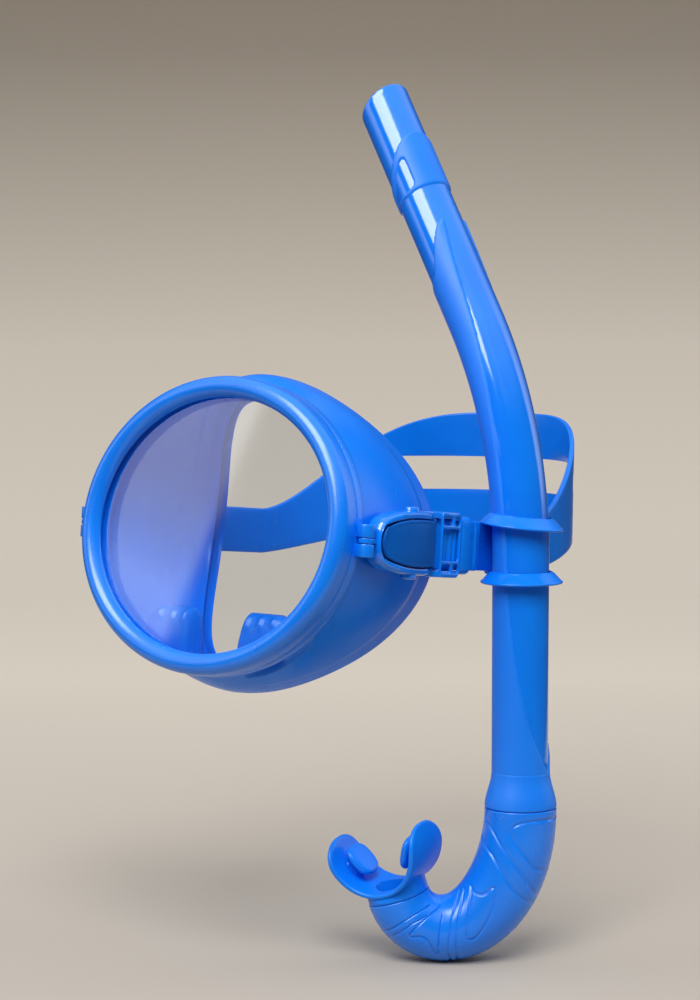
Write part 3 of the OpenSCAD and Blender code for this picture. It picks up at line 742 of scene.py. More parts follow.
def build_skirt():
    share, before, inset = skirt_rows().T[:, None, :]
    # finer steps where the finger wells are
    step, fine, low, high = 1.25, 0.5, 226, 314
    degrees = [*np.arange(0, low, step), *np.arange(low, high, fine), *np.arange(high, 360, step)]
    t = np.radians(degrees)[:, None]
    length = skirt_depth(t) - SKIRT_FRONT
    room = np.minimum(1, SEAL_SHARE * length / SEAL_DEPTH)
    s = share - before * np.where(before < 0, 1, room) / length
    # a shallow step sets off a strip along the rear edge at the sides
    to_rear = (1 - s) * length
    strip = STRIP_STEP * ease((STRIP_W - to_rear) / 1.2) * ease(2.2 * np.abs(np.cos(t)) - 0.45)
    grow = SKIRT_BELLY * np.sin(math.pi * s) - inset - strip
    wall = xyz(
        (mix(OPEN_W / 2 + SHOULDER, SKIRT_W / 2, s) + grow) * np.cos(t),
        SKIRT_FRONT + s * length,
        (mix(OPEN_H / 2 + SHOULDER, SKIRT_H / 2, s) + grow) * np.sin(t))
    gasket = [
        (GASKET_OUT, SKIRT_FRONT), (GASKET_OUT, GASKET_FRONT), (GASKET_IN, GASKET_FRONT),
        (GASKET_IN, LENS_BACK), (0.9, LENS_BACK), (0.6, LENS_BACK + 0.4), (0.6, FLANGE_BACK - 0.4),
        (0.9, FLANGE_BACK), (GASKET_IN, FLANGE_BACK)]
    shell = closed(np.concatenate([round_opening(gasket, t), raise_wells(wall, inset)], 1))
    obj = mesh_object("skirt_silicone", moved(shell, lens_place), 50)
    dress(obj, silicone, ["skirt", "lens_gasket", "face_seal"], "mask")


# Strap
def band_section(width):
    """Points round a strap's section: across the strap and out from its middle."""
    corner = 0.8
    flats = 8
    w, h = width / 2 - corner, STRAP_T / 2 - corner
    section = []
    for x, y, start in ((w, h, 0), (-w, h, 90), (-w, -h, 180), (w, -h, 270)):
        section += arc((x, y), corner, start, start + 90, 4)
        if start in (0, 180):
            sign = 1 if start == 0 else -1
            section += [(sign * mix(w, -w, k / flats), sign * STRAP_T / 2) for k in range(1, flats)]
    return np.array(section)


def ribbon(centres, outs, widths, across, ribs=0, inner_ribs=0):
    """A strap along a path, with ribs of the given heights on its outside and its inside."""
    ribs = np.broadcast_to(ribs, len(centres))
    inner_ribs = np.broadcast_to(inner_ribs, len(centres))
    face = 0.9 * STRAP_T / 2
    loops = []
    for i, centre in enumerate(centres):
        section = band_section(widths[i])
        fade = ease((widths[i] / 2 - RIB_MARGIN - np.abs(section[:, 0])) / RIB_FADE)
        lift = section[:, 1].copy()
        lift += np.where(section[:, 1] > face, ribs[i] * fade, 0)
        lift -= np.where(section[:, 1] < -face, inner_ribs[i] * fade, 0)
        loops.append(centre + section[:, :1] * across[i] + lift[:, None] * outs[i])
    return capped(loops)


def rib_heights(lengths, start, end):
    wave = 0.5 + 0.5 * np.cos(2 * math.pi * (lengths - start) / RIB_PITCH)
    inside = ease(lengths - start) * ease(end - lengths)
    return (RIB_H * ease(1.9 * wave - 0.75) - RIB_VALLEY * ease(0.8 - 2 * wave)) * inside


def build_strap_end(side, name):
    """The strap's end: back along the outside, round the bar and on to the head."""
    step = 0.4
    run = np.arange(BAR_Y, TAIL_END, step)[::-1]
    bend = np.radians(np.linspace(90, 270, 25))[1:-1]
    back = np.arange(BAR_Y, (CURVE_Y - HINGE[1]) / math.cos(STRAP_LEAN), step)
    out_x = np.concatenate([np.ones(len(run)), np.sin(bend), -np.ones(len(back))])
    out_y = np.concatenate([np.zeros(len(run)), np.cos(bend), np.zeros(len(back))])
    x = RUN_X * out_x
    y = np.concatenate([run, BAR_Y + RUN_X * np.cos(bend), back])
    ribs = np.where(x > RUN_X - 0.01, rib_heights(y, BAR_Y + 2, TAIL_END - 1), 0)
    # beyond the tail the ribs stand on the strap's outer face, which is its inside round the bar
    inner_ribs = np.where(x < 0, rib_heights(y, TAIL_END + 1, RIBS_END), 0)
    widths = np.full(len(x), STRAP_W)
    across = np.tile((0.0, 0.0, 1.0), (len(x), 1))
    shell = ribbon(xyz(x, y, 0), xyz(out_x, out_y, 0), widths, across, ribs, inner_ribs)
    place = strap_place(side)
    obj = mesh_object(name + "_strap_end", moved(shell, place))
    dress(obj, silicone, [name + "_strap_tail"])
    start = place(np.array([-RUN_X, BLEND_START, 0.0])) * MM
    end = place(np.array([-RUN_X, BLEND_END, 0.0])) * MM
    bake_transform(obj)


def build_back_strap():
    t = np.radians(np.arange(0, 180.01, 1.5))
    rise = ease(np.sin(t))
    curve_z = HINGE[2] - (CURVE_Y - HINGE[1]) * math.tan(STRAP_LEAN)
    centres = xyz(STRAP_X * np.cos(t), CURVE_Y + BACK_REACH * np.sin(t), mix(curve_z, BACK_Z, rise))
    outs = xyz(np.cos(t) * BACK_REACH, np.sin(t) * STRAP_X, 0)
    outs /= np.linalg.norm(outs, axis=1)[:, None]
    lean = STRAP_LEAN * (1 - rise)
    across = xyz(0, np.sin(lean), np.cos(lean))
    widths = mix(STRAP_W, BACK_W, rise)
    obj = mesh_object("head_strap_back", ribbon(centres, outs, widths, across))
    # the split is a long hole with round ends, cut from well inside the curve to well outside it
    end_r = SPLIT_H / 2
    half = SPLIT_W / 2 - end_r
    stadium = arc((half, SPLIT_Z), end_r, -90, 90, 16)
    stadium += arc((-half, SPLIT_Z), end_r, 90, 270, 16)
    cut_from, cut_to = CURVE_Y + 20, 220
    cutter = mesh_object("split", prism(np.array(stadium), cut_from, cut_to, 0.01, (0, 2, 1)))
    boolean(obj, cutter, "DIFFERENCE")
    bevel(obj, 0.6)
    dress(obj, silicone, ["head_strap"], "mask")


# Buckles
def buckle_outline(count=144):
    """The housing's outline along and across the strap, as rays from its middle."""
    middle = 24.0
    side_r = 62.0
    away = side_r - BUCKLE_W / 2
    widest = PIVOT[1] + 3
    nose_r = 15.0
    nose_y = KNUCKLE_R + 0.7 + nose_r
    nose_soft, rear_soft = 2.5, 3.0
    far = 99.0
    a = full_turn(count)
    cos, sin = np.cos(a), np.sin(a)

    def leave(cy, cz, r):
        """Where the rays leave a circle."""
        b = (middle - cy) * cos - cz * sin
        c = (middle - cy) ** 2 + cz ** 2 - r ** 2
        return -b + np.sqrt(b * b - c)

    sides = np.minimum(leave(widest, -away, side_r), leave(widest, away, side_r))
    slab = nose_r / np.maximum(np.abs(sin), TINY)
    nose = np.where(middle + slab * cos > nose_y, np.minimum(slab, far), leave(nose_y, 0.0, nose_r))
    rear = np.where(cos > TINY, (BUCKLE_LEN - middle) / np.maximum(cos, TINY), far)
    reach = soft_min(soft_min(sides, nose, nose_soft), np.minimum(rear, far), rear_soft)
    return np.stack([middle + reach * cos, reach * sin], -1)


def loops_on(outline, rows):
    """Closed loops at (margin, x) along an outline; both may vary along it."""
    out = normals(outline)
    loops = []
    for margin, x in rows:
        flat = outline - out * np.broadcast_to(margin, len(out))[:, None]
        loops.append(xyz(x, flat[:, 0], flat[:, 1]))
    return loops


def fan_loops(loop, shares, height):
    """Loops that shrink towards the loop's middle, at the given heights."""
    centre = loop[:, 1:].mean(0)
    loops = []
    for share in shares:
        flat = centre + (loop[:, 1:] - centre) * share
        loops.append(xyz(height(flat, share), flat[:, 0], flat[:, 1]))
    return loops


def rim_widths(outline):
    """The housing's rim is wider along the sides than at the nose."""
    return mix(RIM_T, RIM_SIDE, np.abs(normals(outline)[:, 1]) ** 2)


def revolve(profile, centre, end, count=40):
    """A solid turned about an axis across the strap, from a profile of radii and distances."""
    a = full_turn(count)
    return capped([
        xyz(centre[0] + r * np.cos(a), centre[1] + r * np.sin(a), end * z) for r, z in profile if r > TINY])


def housing_shell():
    outline = buckle_outline()
    rear = ease((outline[:, 0] - 36) / 5)
    nose = ease((20 - outline[:, 0]) / 16)
    top = mix(BODY_OUT, BODY_REAR, rear) - NOSE_DROP * nose
    rim = rim_widths(outline)
    return capped(loops_on(outline, [
        (3.0, BODY_IN), (1.3, BODY_IN), (0.5, BODY_IN + 0.25), (0.1, BODY_IN + 0.8), (0, BODY_IN + 1.6),
        (0, top - 2.8), (0.15, top - 1.7), (0.5, top - 0.8), (1.0, top - 0.2), (rim - 0.9, top),
        (rim - 0.45, top - 0.12), (rim - 0.15, top - 0.5), (rim, top - 1.1), (rim, FLOOR_X + 0.5),
        (rim + 0.4, FLOOR_X)]))


def cage_plate():
    """The cage's outer plate, with a large window for the strap and two small ones at each end."""
    half = BUCKLE_W / 2
    outlines = [rounded(rectangle(CAGE_FRONT, CAGE_BACK, -half, half), [1.5, 3, 3, 1.5])]
    # windows: from and to along the strap, middle and half width across it, corner
    windows = [(44.8, 57.0, 0.0, 7.0, 1.2)]
    for end in (-1, 1):
        windows += [(44.8, 51.6, end * 10.4, 2.0, 1.3), (53.2, 57.2, end * 10.4, 2.0, 1.3)]
    for start, stop, middle, reach, corner in windows:
        hole = rounded(rectangle(start, stop, middle - reach, middle + reach), corner)
        outlines.append(hole[::-1])
    return plate(outlines, PLATE[0], PLATE[1], 0.35, (1, 2, 0))


def build_buckle(side, name):
    shells = [housing_shell()]
    # ears round the ends of the lever's pin
    ear = [(EAR_R, EAR_IN)] + arc((0, EAR_OUT - EAR_ROUND), (EAR_R, EAR_ROUND), 0, 90, 5)
    shells += [revolve(ear, PIVOT, end) for end in (-1, 1)]
    # tongue of the hinge
    tongue_r = KNUCKLE_R - 0.2
    tongue = [(TONGUE_T / 2, TONGUE_END), (-TONGUE_T / 2, TONGUE_END)]
    tongue += arc((0, 0), tongue_r, 155, 385, 24)
    shells.append(prism(np.array(tongue), -TONGUE_HALF, TONGUE_HALF, 0.25, (0, 1, 2)))
    # cheeks of the strap cage
    cheek = [
        (BODY_IN, CHEEK_FRONT), (BODY_IN, CAGE_BACK), (BODY_OUT, CAGE_BACK), (BODY_OUT, CAGE_FRONT + 0.6),
        (BODY_REAR - 0.1, 41), (BODY_REAR - 0.1, CHEEK_FRONT)]
    shells += prism_pair(rounded(cheek, [0.2, 3.2, 1.4, 0.8, 1.2, 0.2]), CHEEK_IN, BUCKLE_W / 2, 0.5)
    shells.append(cage_plate())
    obj = mesh_object(name + "_buckle_housing", moved(merge(*shells), strap_place(side)), 42)
    dress(obj, gloss, [name + "_buckle_body"], name + "_buckle")


def pad_shell():
    """The press pad: a crowned plate with a fine raised border and a gently domed face."""
    outline = buckle_outline()

    def crown(y):
        return PAD_OUT - (y - PIVOT[1]) ** 2 / (2 * PAD_CROWN_R)

    def height(flat, share):
        dish = 0.22 * ease((0.95 - share) / 0.05)
        return crown(flat[:, 0]) - 0.42 * share ** 6 - dish + 0.35 * (1 - share ** 2) - 0.1

    margin = rim_widths(outline) + PAD_GAP
    edge = loops_on(outline, [(margin, 0.0)])[0]
    top = crown(edge[:, 1])
    loops = loops_on(outline, [
        (margin + 0.9, PAD_IN), (margin + 0.2, PAD_IN + 0.1), (margin, PAD_IN + 0.4),
        (margin, top - 1.1), (margin + 0.1, top - 0.75), (margin + 0.35, top - 0.5)])
    shares = [0.985, 0.965, 0.945, 0.92, 0.88, 0.8, 0.65, 0.45, 0.25, 0.08]
    return capped(loops + fan_loops(loops[-1], shares, height))


def build_lever(side, name):
    shells = [pad_shell()]
    # under the pad, two bosses on the pin and the webs that carry them
    boss_from, boss_to, web_top, web_half = 4.0, 8.3, 5.4, 2.2
    web = rectangle(PIVOT[0], web_top, PIVOT[1] - web_half, PIVOT[1] + web_half)
    shells += [revolve([(BOSS_R, boss_from), (BOSS_R, boss_to)], PIVOT, end, 32) for end in (-1, 1)]
    shells += prism_pair(web, boss_from + 0.2, boss_to - 0.2, 0.1)
    obj = mesh_object(name + "_press_pad", moved(merge(*shells), strap_place(side)), 50)
    dress(obj, pad_blue, [name + "_lever"], name + "_lever")


def build_loop(side, name):
    low_x = -RUN_X - STRAP_T / 2 - STRAP_GAP
    high_x = RUN_X + STRAP_T / 2 + RIB_H + STRAP_GAP
    half = STRAP_W / 2 + STRAP_GAP
    path = rounded(rectangle(low_x, high_x, -half, half), 1.6, 5)
    out = normals(path)
    profile = rounded(rectangle(0, LOOP_WALL, *LOOP), [0.3, 0.65, 0.65, 0.3], 4)
    crown = 0.25 * hump((profile[:, 1] - sum(LOOP) / 2) / 4) * (profile[:, 0] > LOOP_WALL / 2)
    reach = profile[:, 0] + crown
    ring = xyz(path[:, :1] + out[:, :1] * reach, profile[:, 1], path[:, 1:] + out[:, 1:] * reach)
    obj = mesh_object(name + "_strap_keeper_loop", moved(closed(ring), strap_place(side)), 50)
    dress(obj, silicone, [name + "_strap_loop"], name + "_strap_loop")


# Snorkel
def tube_axis(u):
    """Centre and inward normal of the tube's bend, in the snorkel's own axes."""
    a = np.clip((u - BEND_Z) / BEND_R, 0, BEND_ANGLE)
    rest = np.maximum(0, u - BEND_Z - BEND_R * BEND_ANGLE)
    x = BEND_R * (1 - np.cos(a)) + rest * np.sin(a)
    z = np.minimum(u, BEND_Z) + BEND_R * np.sin(a) + rest * np.cos(a)
    return xyz(x, 0, z), xyz(np.cos(a), 0, -np.sin(a))


def tube_points(u, psi, r):
    """Points at a distance r from the tube's axis; psi is 0 towards the front left."""
    centre, inward = tube_axis(u)
    a = np.radians(psi + FRONT_TURN)
    side = np.array([0.0, 1.0, 0.0])
    return snorkel_place(centre + (r * np.cos(a))[..., None] * inward + (r * np.sin(a))[..., None] * side)


def build_barrel():
    psi = np.arange(0, 360, 3.0)
    rim = TIP_U + TUBE_R * (math.tan(TIP_SLANT) * np.cos(np.radians(psi - TIP_TURN))) - TIP_ROUND
    slant_from = TIP_U - TIP_RUN
    bore_from = slant_from - 15
    foot = SEAM_Z - SPIGOT_LEN
    wall = (TUBE_R - BORE_R) / 2
    # rows of height and radius: up the outside from the spigot, over the slanted rim and down the bore
    rows = [(foot, BORE_R + 0.4), (foot, SPIGOT_R - 0.4), (foot + 0.4, SPIGOT_R), (SEAM_Z, SPIGOT_R)]
    rows += [(SEAM_Z, COLLAR_R - 0.5), (SEAM_Z + 0.15, COLLAR_R - 0.12), (SEAM_Z + 0.5, COLLAR_R)]
    for k in np.linspace(0.06, 1, 14):
        rows.append((SEAM_Z + COLLAR_H * k, mix(COLLAR_R, TUBE_R + SLEEVE_T, ease(k))))
    rows += [(COLLAR_TOP + 0.6, TUBE_R + 0.35), (COLLAR_TOP + 1.2, TUBE_R)]
    rows += [(u, TUBE_R) for u in np.linspace(COLLAR_TOP + 5, slant_from, 110)]
    rows += [(mix(slant_from, rim, k), TUBE_R) for k in np.linspace(0, 1, 26)[1:]]
    for a in np.radians(np.linspace(0, 180, 13)[1:-1]):
        rows.append((rim + TIP_ROUND * math.sin(a), BORE_R + wall + wall * math.cos(a)))
    rows += [(mix(rim, slant_from, k), BORE_R) for k in np.linspace(0, 1, 12)]
    rows += [(u, BORE_R) for u in np.linspace(bore_from, foot, 60)]
    obj = mesh_object("snorkel_tube", closed([tube_points(u, psi, r) for u, r in rows]), 45)
    dress(obj, gloss, ["barrel"], "snorkel")
    # the collar has the sleeve's finish
    obj.data.materials.append(matte)
    for polygon in obj.data.polygons:
        polygon.material_index = int(polygon.center.z < (COLLAR_TOP + 2) * MM)


def skin(name, low, high, inside, nodes):
    """A soft layer on the tube where inside(u, psi) is positive, in millimetres to its edge."""
    step = 0.75
    count = 120
    edge_w, sunk, overlap, thickness = 0.9, 0.25, 1.6, 0.3
    u = np.arange(low, high, step)
    psi = np.arange(count) * 360 / count - 180
    u, psi = np.meshgrid(u, psi, indexing="ij")
    f = inside(u, psi)
    # distance to the edge from the function's own slope
    du = np.gradient(f, step, axis=0)
    pitch = math.radians(360 / count) * TUBE_R
    da = (np.roll(f, -1, 1) - np.roll(f, 1, 1)) / (2 * pitch)
    away = f / np.maximum(np.sqrt(du * du + da * da), 0.6)
    rise = SLEEVE_T * np.sqrt(1 - (1 - np.clip(away / edge_w, 0, 1)) ** 2)
    lift = np.where(away > 0, rise, sunk * away)
    points, faces = grid(tube_points(u, psi, TUBE_R + np.maximum(lift, -sunk)), wrap_cols=True)
    keep = (away > -overlap).ravel()
    faces = np.array([face for face in faces if all(keep[i] for i in face)])
    used, index = np.unique(faces, return_inverse=True)
    obj = mesh_object(name, (points[used], index.reshape(faces.shape).tolist()), 60)
    thick = obj.modifiers.new("thick", "SOLIDIFY")
    thick.thickness = thickness * MM
    thick.offset = -1
    apply_modifiers(obj, 60)
    dress(obj, matte, nodes, "snorkel")


# The glossy leaf in the sleeve: along the tube, its left edge and its mirror plane in degrees
LEAF = [
    (-113, 66, 66), (-98.5, 26, 65), (-78, -1, 63), (-51.5, -24, 60), (-27, -34, 58), (41.5, -37, 52),
    (82, -19, 48), (104.5, -8, 46), (124, 1, 45), (134, 8, 45), (145, 16, 45)]
# The sleeve's upper edge: angle and distance below the tip
SLEEVE_EDGE = [
    (-135, 99), (-95, 97.5), (-55, 92.8), (-38, 85.6), (-28, 80.8), (-19, 77.2), (-6, 72.8), (9, 70.5)]
# The band's edges: distance below the tip, how far they swing and the angle where they are highest
BAND_HIGH = (37.2, 14.0, 35)
BAND_LOW = (53.5, 1.5, 25)
# The windows in the band: distances from its edges, and the angle where they end
WINDOW_TOP = 5.3
WINDOW_FOOT = 1.8
WINDOW_END = -13
MIRROR_TOP = 46.5


def wrapped(angle):
    return (angle + 180) % 360 - 180


def folded_top(psi):
    """The angle on one side of the upper mirror plane that stands for both sides."""
    return MIRROR_TOP - np.abs(wrapped(psi - MIRROR_TOP))


def build_sleeve():
    leaf_u, leaf_left, leaf_plane = np.array(LEAF).T
    edge_angles, edge_drops = np.array(SLEEVE_EDGE).T
    outside = 9

    def inside(u, psi):
        plane = curve(u, leaf_u, leaf_plane)
        left = curve(u, leaf_u, leaf_left)
        # distance outside the leaf, round the tube
        off = np.abs(wrapped(psi - plane)) - (plane - left)
        leaf_away = np.where(u < leaf_u[0], outside, math.radians(1) * TUBE_R * off)
        top_away = (TIP_U - np.interp(folded_top(psi), edge_angles, edge_drops)) - u
        foot_away = u - (COLLAR_TOP - 1)
        return np.minimum(np.minimum(leaf_away, top_away), foot_away)

    skin("snorkel_sleeve", COLLAR_TOP - 3, TIP_U - 66, inside, ["barrel_sleeve"])


def build_band():
    def edge(psi, drop, swing, highest):
        return drop - swing * np.cos(np.radians(psi - highest))

    def inside(u, psi):
        s = TIP_U - u
        high = edge(psi, *BAND_HIGH)
        low = edge(psi, *BAND_LOW)
        away = np.minimum(s - high, low - s)
        # a window on each side, with a round front end and a pointed rear end
        ahead = (WINDOW_END - folded_top(psi)) * math.radians(TUBE_R)
        window = soft_min(soft_min(s - high - WINDOW_TOP, low - WINDOW_FOOT - s, 1.0), ahead, 4.0)
        return np.minimum(away, -window)

    skin("snorkel_top_band", TIP_U - 60, TIP_U - 19, inside, ["top_band"])


def keeper_rings():
    """Two flared rings round the tube; the upper one sits askew, lower on the side away from the lens."""
    a = full_turn(96)
    tip = 0.6
    bore = KEEPER_BORE - 0.02
    profile = [(bore, 0.1 - RING_HALF), (KEEPER_BORE + 0.7, -RING_HALF), (RING_R - tip, -RING_FLARE - tip)]
    profile += arc((RING_R - tip, -RING_FLARE), tip, -90, 90, 8)
    profile += [(KEEPER_BORE + 1.6, 1.6), (KEEPER_BORE + 0.6, 2.3), (bore, RING_HALF)]
    shells = []
    for end in (-1, 1):
        askew = RING_SKEW * np.cos(a - math.radians(AZIMUTH)) if end > 0 else 0
        middle = KEEPER_Z + end * RING_OFF
        shells.append(closed([
            xyz(TUBE_AT[0] + r * np.cos(a), TUBE_AT[1] + r * np.sin(a), middle + z - r * askew)
            for r, z in profile]))
    return mesh_object("rings", merge(*shells))


def keeper_bore():
    a = full_turn(96)
    x, y = TUBE_AT[0] + KEEPER_BORE * np.cos(a), TUBE_AT[1] + KEEPER_BORE * np.sin(a)
    return mesh_object("bore", capped([xyz(x, y, z) for z in (-60.0, 40.0)]))


def build_keeper():
    rings = keeper_rings()
    slot_in = STRAP_X - STRAP_T / 2 - STRAP_GAP
    slot_out = STRAP_X + STRAP_T / 2 + STRAP_GAP
    slot_half = STRAP_W / 2 + STRAP_GAP
    low, high = slot_in - KEEPER_WALL, TUBE_AT[0] - KEEPER_REACH
    half = RING_OFF + RING_FLARE
    outline = rounded(
        [(low, KEEPER_Z - KEEPER_HALF), (high, KEEPER_Z - half), (high, KEEPER_Z + half),
         (low, KEEPER_Z + KEEPER_HALF)], [1.6, 0.5, 0.5, 1.6])
    front, back = TUBE_AT[1] + KEEPER_DEPTH[0], TUBE_AT[1] + KEEPER_DEPTH[1]
    block = mesh_object("snorkel_keeper_clip", prism(outline, front, back, 0.8, (0, 2, 1)))
    # the strap's slot leans with the strap
    slot = rounded(rectangle(slot_in, slot_out, -slot_half, slot_half), 0.4, 3)
    points, faces = prism(slot, -30, 30, 0.01, (0, 2, 1))
    y, z = turn(points[:, 1], points[:, 2], -STRAP_LEAN)
    cutter = mesh_object("slot", (xyz(points[:, 0], TUBE_AT[1] + y, KEEPER_Z + z), faces))
    boolean(block, cutter, "DIFFERENCE")
    boolean(block, keeper_bore(), "DIFFERENCE")
    bevel(block, 0.35)
    boolean(block, rings, "UNION")
    dress(block, silicone, ["snorkel_keeper"], "keeper")


# Elbow and mouthpiece
def elbow_line(s):
    """Centre and direction of the elbow's axis in its own plane, for shares from 0 to 1."""
    t = np.clip(s / DOWN_SHARE, 0, 1) * math.pi / 2
    up = np.clip((s - DOWN_SHARE) / (1 - DOWN_SHARE), 0, 1) * TURN_ANGLE
    x = ELBOW_REACH * (1 - np.cos(t)) + TURN_R * np.sin(up)
    z = ELBOW_TOP - ELBOW_DROP * np.sin(t) + TURN_R * (1 - np.cos(up))
    dx = np.where(s <= DOWN_SHARE, ELBOW_REACH * np.sin(t), np.cos(up))
    dz = np.where(s <= DOWN_SHARE, -ELBOW_DROP * np.cos(t), np.sin(up))
    size = np.hypot(dx, dz)
    return x, z, dx / size, dz / size


def elbow_points(s, a, r):
    x, z, dx, dz = elbow_line(s)
    return xyz(x + r * np.cos(a) * dz, r * np.sin(a), z - r * np.cos(a) * dx)


def elbow_radius(s):
    return mix(COLLAR_R, OUTLET_R, ease(1.1 * s - 0.1)) + ELBOW_BELLY * hump((s - 0.3) / 0.3)


# Moulded grooves on the elbow: points along it as share and angle, in degrees, mirrored on both sides
GROOVES = [
    [(0.025, 10), (0.025, 50), (0.031, 86), (0.047, 103), (0.069, 108), (0.088, 105), (0.11, 95),
     (0.141, 78), (0.169, 62), (0.179, 47), (0.179, 10)],
    [(0.003, 160), (0.044, 166), (0.063, 150), (0.088, 136), (0.129, 118), (0.172, 95), (0.207, 73),
     (0.238, 52), (0.254, 33), (0.256, 8)],
    [(0.107, 178), (0.132, 165), (0.169, 134), (0.21, 112), (0.248, 92), (0.273, 71), (0.284, 50),
     (0.292, 10)],
    [(0.357, 143), (0.367, 131), (0.357, 120), (0.335, 114), (0.304, 111), (0.295, 105), (0.332, 96),
     (0.389, 88), (0.451, 79), (0.502, 71), (0.53, 71), (0.542, 79), (0.517, 97), (0.448, 120),
     (0.392, 133), (0.357, 143)],
    [(0.433, 160), (0.511, 142), (0.583, 119), (0.614, 95), (0.63, 68), (0.627, 37), (0.62, 5)],
    [(0.401, 152), (0.495, 129), (0.552, 110), (0.586, 87), (0.599, 61), (0.602, 33), (0.60, 5)],
    [(0.693, 145), (0.781, 119), (0.812, 96), (0.824, 74), (0.812, 66), (0.781, 75), (0.749, 77),
     (0.718, 69), (0.687, 52), (0.671, 47), (0.674, 73), (0.677, 100), (0.661, 126)],
    [(0.90, 10), (0.893, 55), (0.89, 84), (0.871, 111), (0.831, 137)],
    [(0.868, 10), (0.865, 49), (0.856, 77), (0.842, 94), (0.80, 118)],
]


def groove_depth(s, a):
    """Depth of the moulded grooves, from the distance to their lines on the unrolled surface."""
    length = 118.0
    radius = 15.0
    x = s * length
    y = np.minimum(a, 2 * math.pi - a) * radius
    nearest = np.full(s.shape, 99.0)
    for line in GROOVES:
        shares, degrees = np.array(line, float).T
        number = np.arange(len(line))
        k = np.linspace(0, len(line) - 1, 60)
        px = curve(k, number, shares) * length
        py = np.radians(curve(k, number, degrees)) * radius
        for i in range(len(k) - 1):
            ex, ey = px[i + 1] - px[i], py[i + 1] - py[i]
            c = np.clip(((x - px[i]) * ex + (y - py[i]) * ey) / max(ex * ex + ey * ey, TINY), 0, 1)
            nearest = np.minimum(nearest, np.hypot(x - px[i] - c * ex, y - py[i] - c * ey))
    return GROOVE_DEPTH * (1 - ease(nearest / GROOVE_HALF))


def build_elbow():
    a = full_turn(220)
    top, end = elbow_radius(0.0), elbow_radius(1.0)
    socket_r = SPIGOT_R + SPIGOT_FIT
    s2, a2 = np.meshgrid(np.linspace(0.004, 0.996, 260), a, indexing="ij")
    outer = elbow_points(s2, a2, elbow_radius(s2) - groove_depth(s2, a2))
    # rows of share and radius before and after the grooved outside: the top's edge, the end and the bore
    before = [(0.0, top - 0.6), (0.001, top - 0.15)]
    after = [(0.999, end - 0.1), (1.0, end - 0.3), (1.0, MOUTH_SPIGOT_R + SPIGOT_FIT)]
    after += [(s, ELBOW_BORE) for s in np.linspace(0.93, 0.14, 40)]
    after += [(SOCKET_SHARE, ELBOW_BORE), (SOCKET_SHARE, socket_r), (0.06, socket_r), (0.0, socket_r)]
    rows = [elbow_points(s, a, r) for s, r in before] + list(outer)
    rows += [elbow_points(s, a, r) for s, r in after]
    obj = mesh_object("snorkel_elbow", moved(closed(rows), elbow_place), 60)
    dress(obj, satin, ["elbow"], "elbow")


def bent(p, q, out):
    """A point of the lip flange: along and across it unrolled, and its distance from the outside."""
    r = FLANGE_R - out
    middle = FLANGE_R - FLANGE_T / 2
    a = np.clip(p / middle, -math.pi / 2, math.pi / 2)
    arm = np.abs(p) - np.abs(a) * middle
    return xyz(r * np.sin(a), q, FLANGE_MID - r * np.cos(a) + arm)


def flange_reach(a):
    """Distance to the flange's edge in each direction of the unrolled flange."""
    half_p = (FLANGE_R - FLANGE_T / 2) * math.pi / 2 + FLANGE_ARM
    half_q = FLANGE_H / 2
    cos, sin = np.abs(np.cos(a)), np.abs(np.sin(a))
    # a rounded rectangle: straight sides up to where the corner's circle begins
    p = half_p - FLANGE_CORNER
    q = half_q - FLANGE_CORNER
    b = p * cos + q * sin
    corner = b + np.sqrt(np.maximum(b * b - p * p - q * q + FLANGE_CORNER ** 2, 0))
    wide = half_p / np.maximum(cos, TINY)
    tall = half_q / np.maximum(sin, TINY)
    return np.where(wide * sin <= q, wide, np.where(tall * cos <= p, tall, corner))


def build_mouthpiece():
    a = full_turn(176)
    cos, sin = np.cos(a), np.sin(a)
    edge = flange_reach(a) - FLANGE_ROUND
    half = FLANGE_T / 2
    low = -MOUTH_SPIGOT_LEN
    spigot = [
        (MOUTH_BORE, 2.0), (MOUTH_BORE, low + 0.4), (MOUTH_BORE + 0.4, low), (MOUTH_SPIGOT_R - 0.4, low),
        (MOUTH_SPIGOT_R, low + 0.4), (MOUTH_SPIGOT_R, 0.2), (MOUTH_COLLAR_R - 0.25, 0.25),
        (MOUTH_COLLAR_R, 0.45), (MOUTH_COLLAR_R, 1.6)]
    # the flange's outside, its round edge and its inside: reach and distance from the outside
    flange = [(mix(MOUTH_COLLAR_R - 0.6, edge, share), 0.0) for share in np.linspace(0.04, 1, 30)]
    for b in np.radians(np.linspace(0, 180, 9)[1:-1]):
        flange.append((edge + FLANGE_ROUND * math.sin(b), half - half * math.cos(b)))
    flange += [(mix(MOUTH_BORE + 0.3, edge, share), FLANGE_T) for share in np.linspace(1, 0.03, 30)]
    rows = [xyz(r * cos, r * sin, z) for r, z in spigot] + [bent(r * cos, r * sin, out) for r, out in flange]
    shells = [closed(rows), bite_tab(-1), bite_tab(1)]
    obj = mesh_object("snorkel_mouthpiece", moved(merge(*shells), mouth_place), 55)
    dress(obj, silicone, ["mouthpiece"], "mouthpiece")


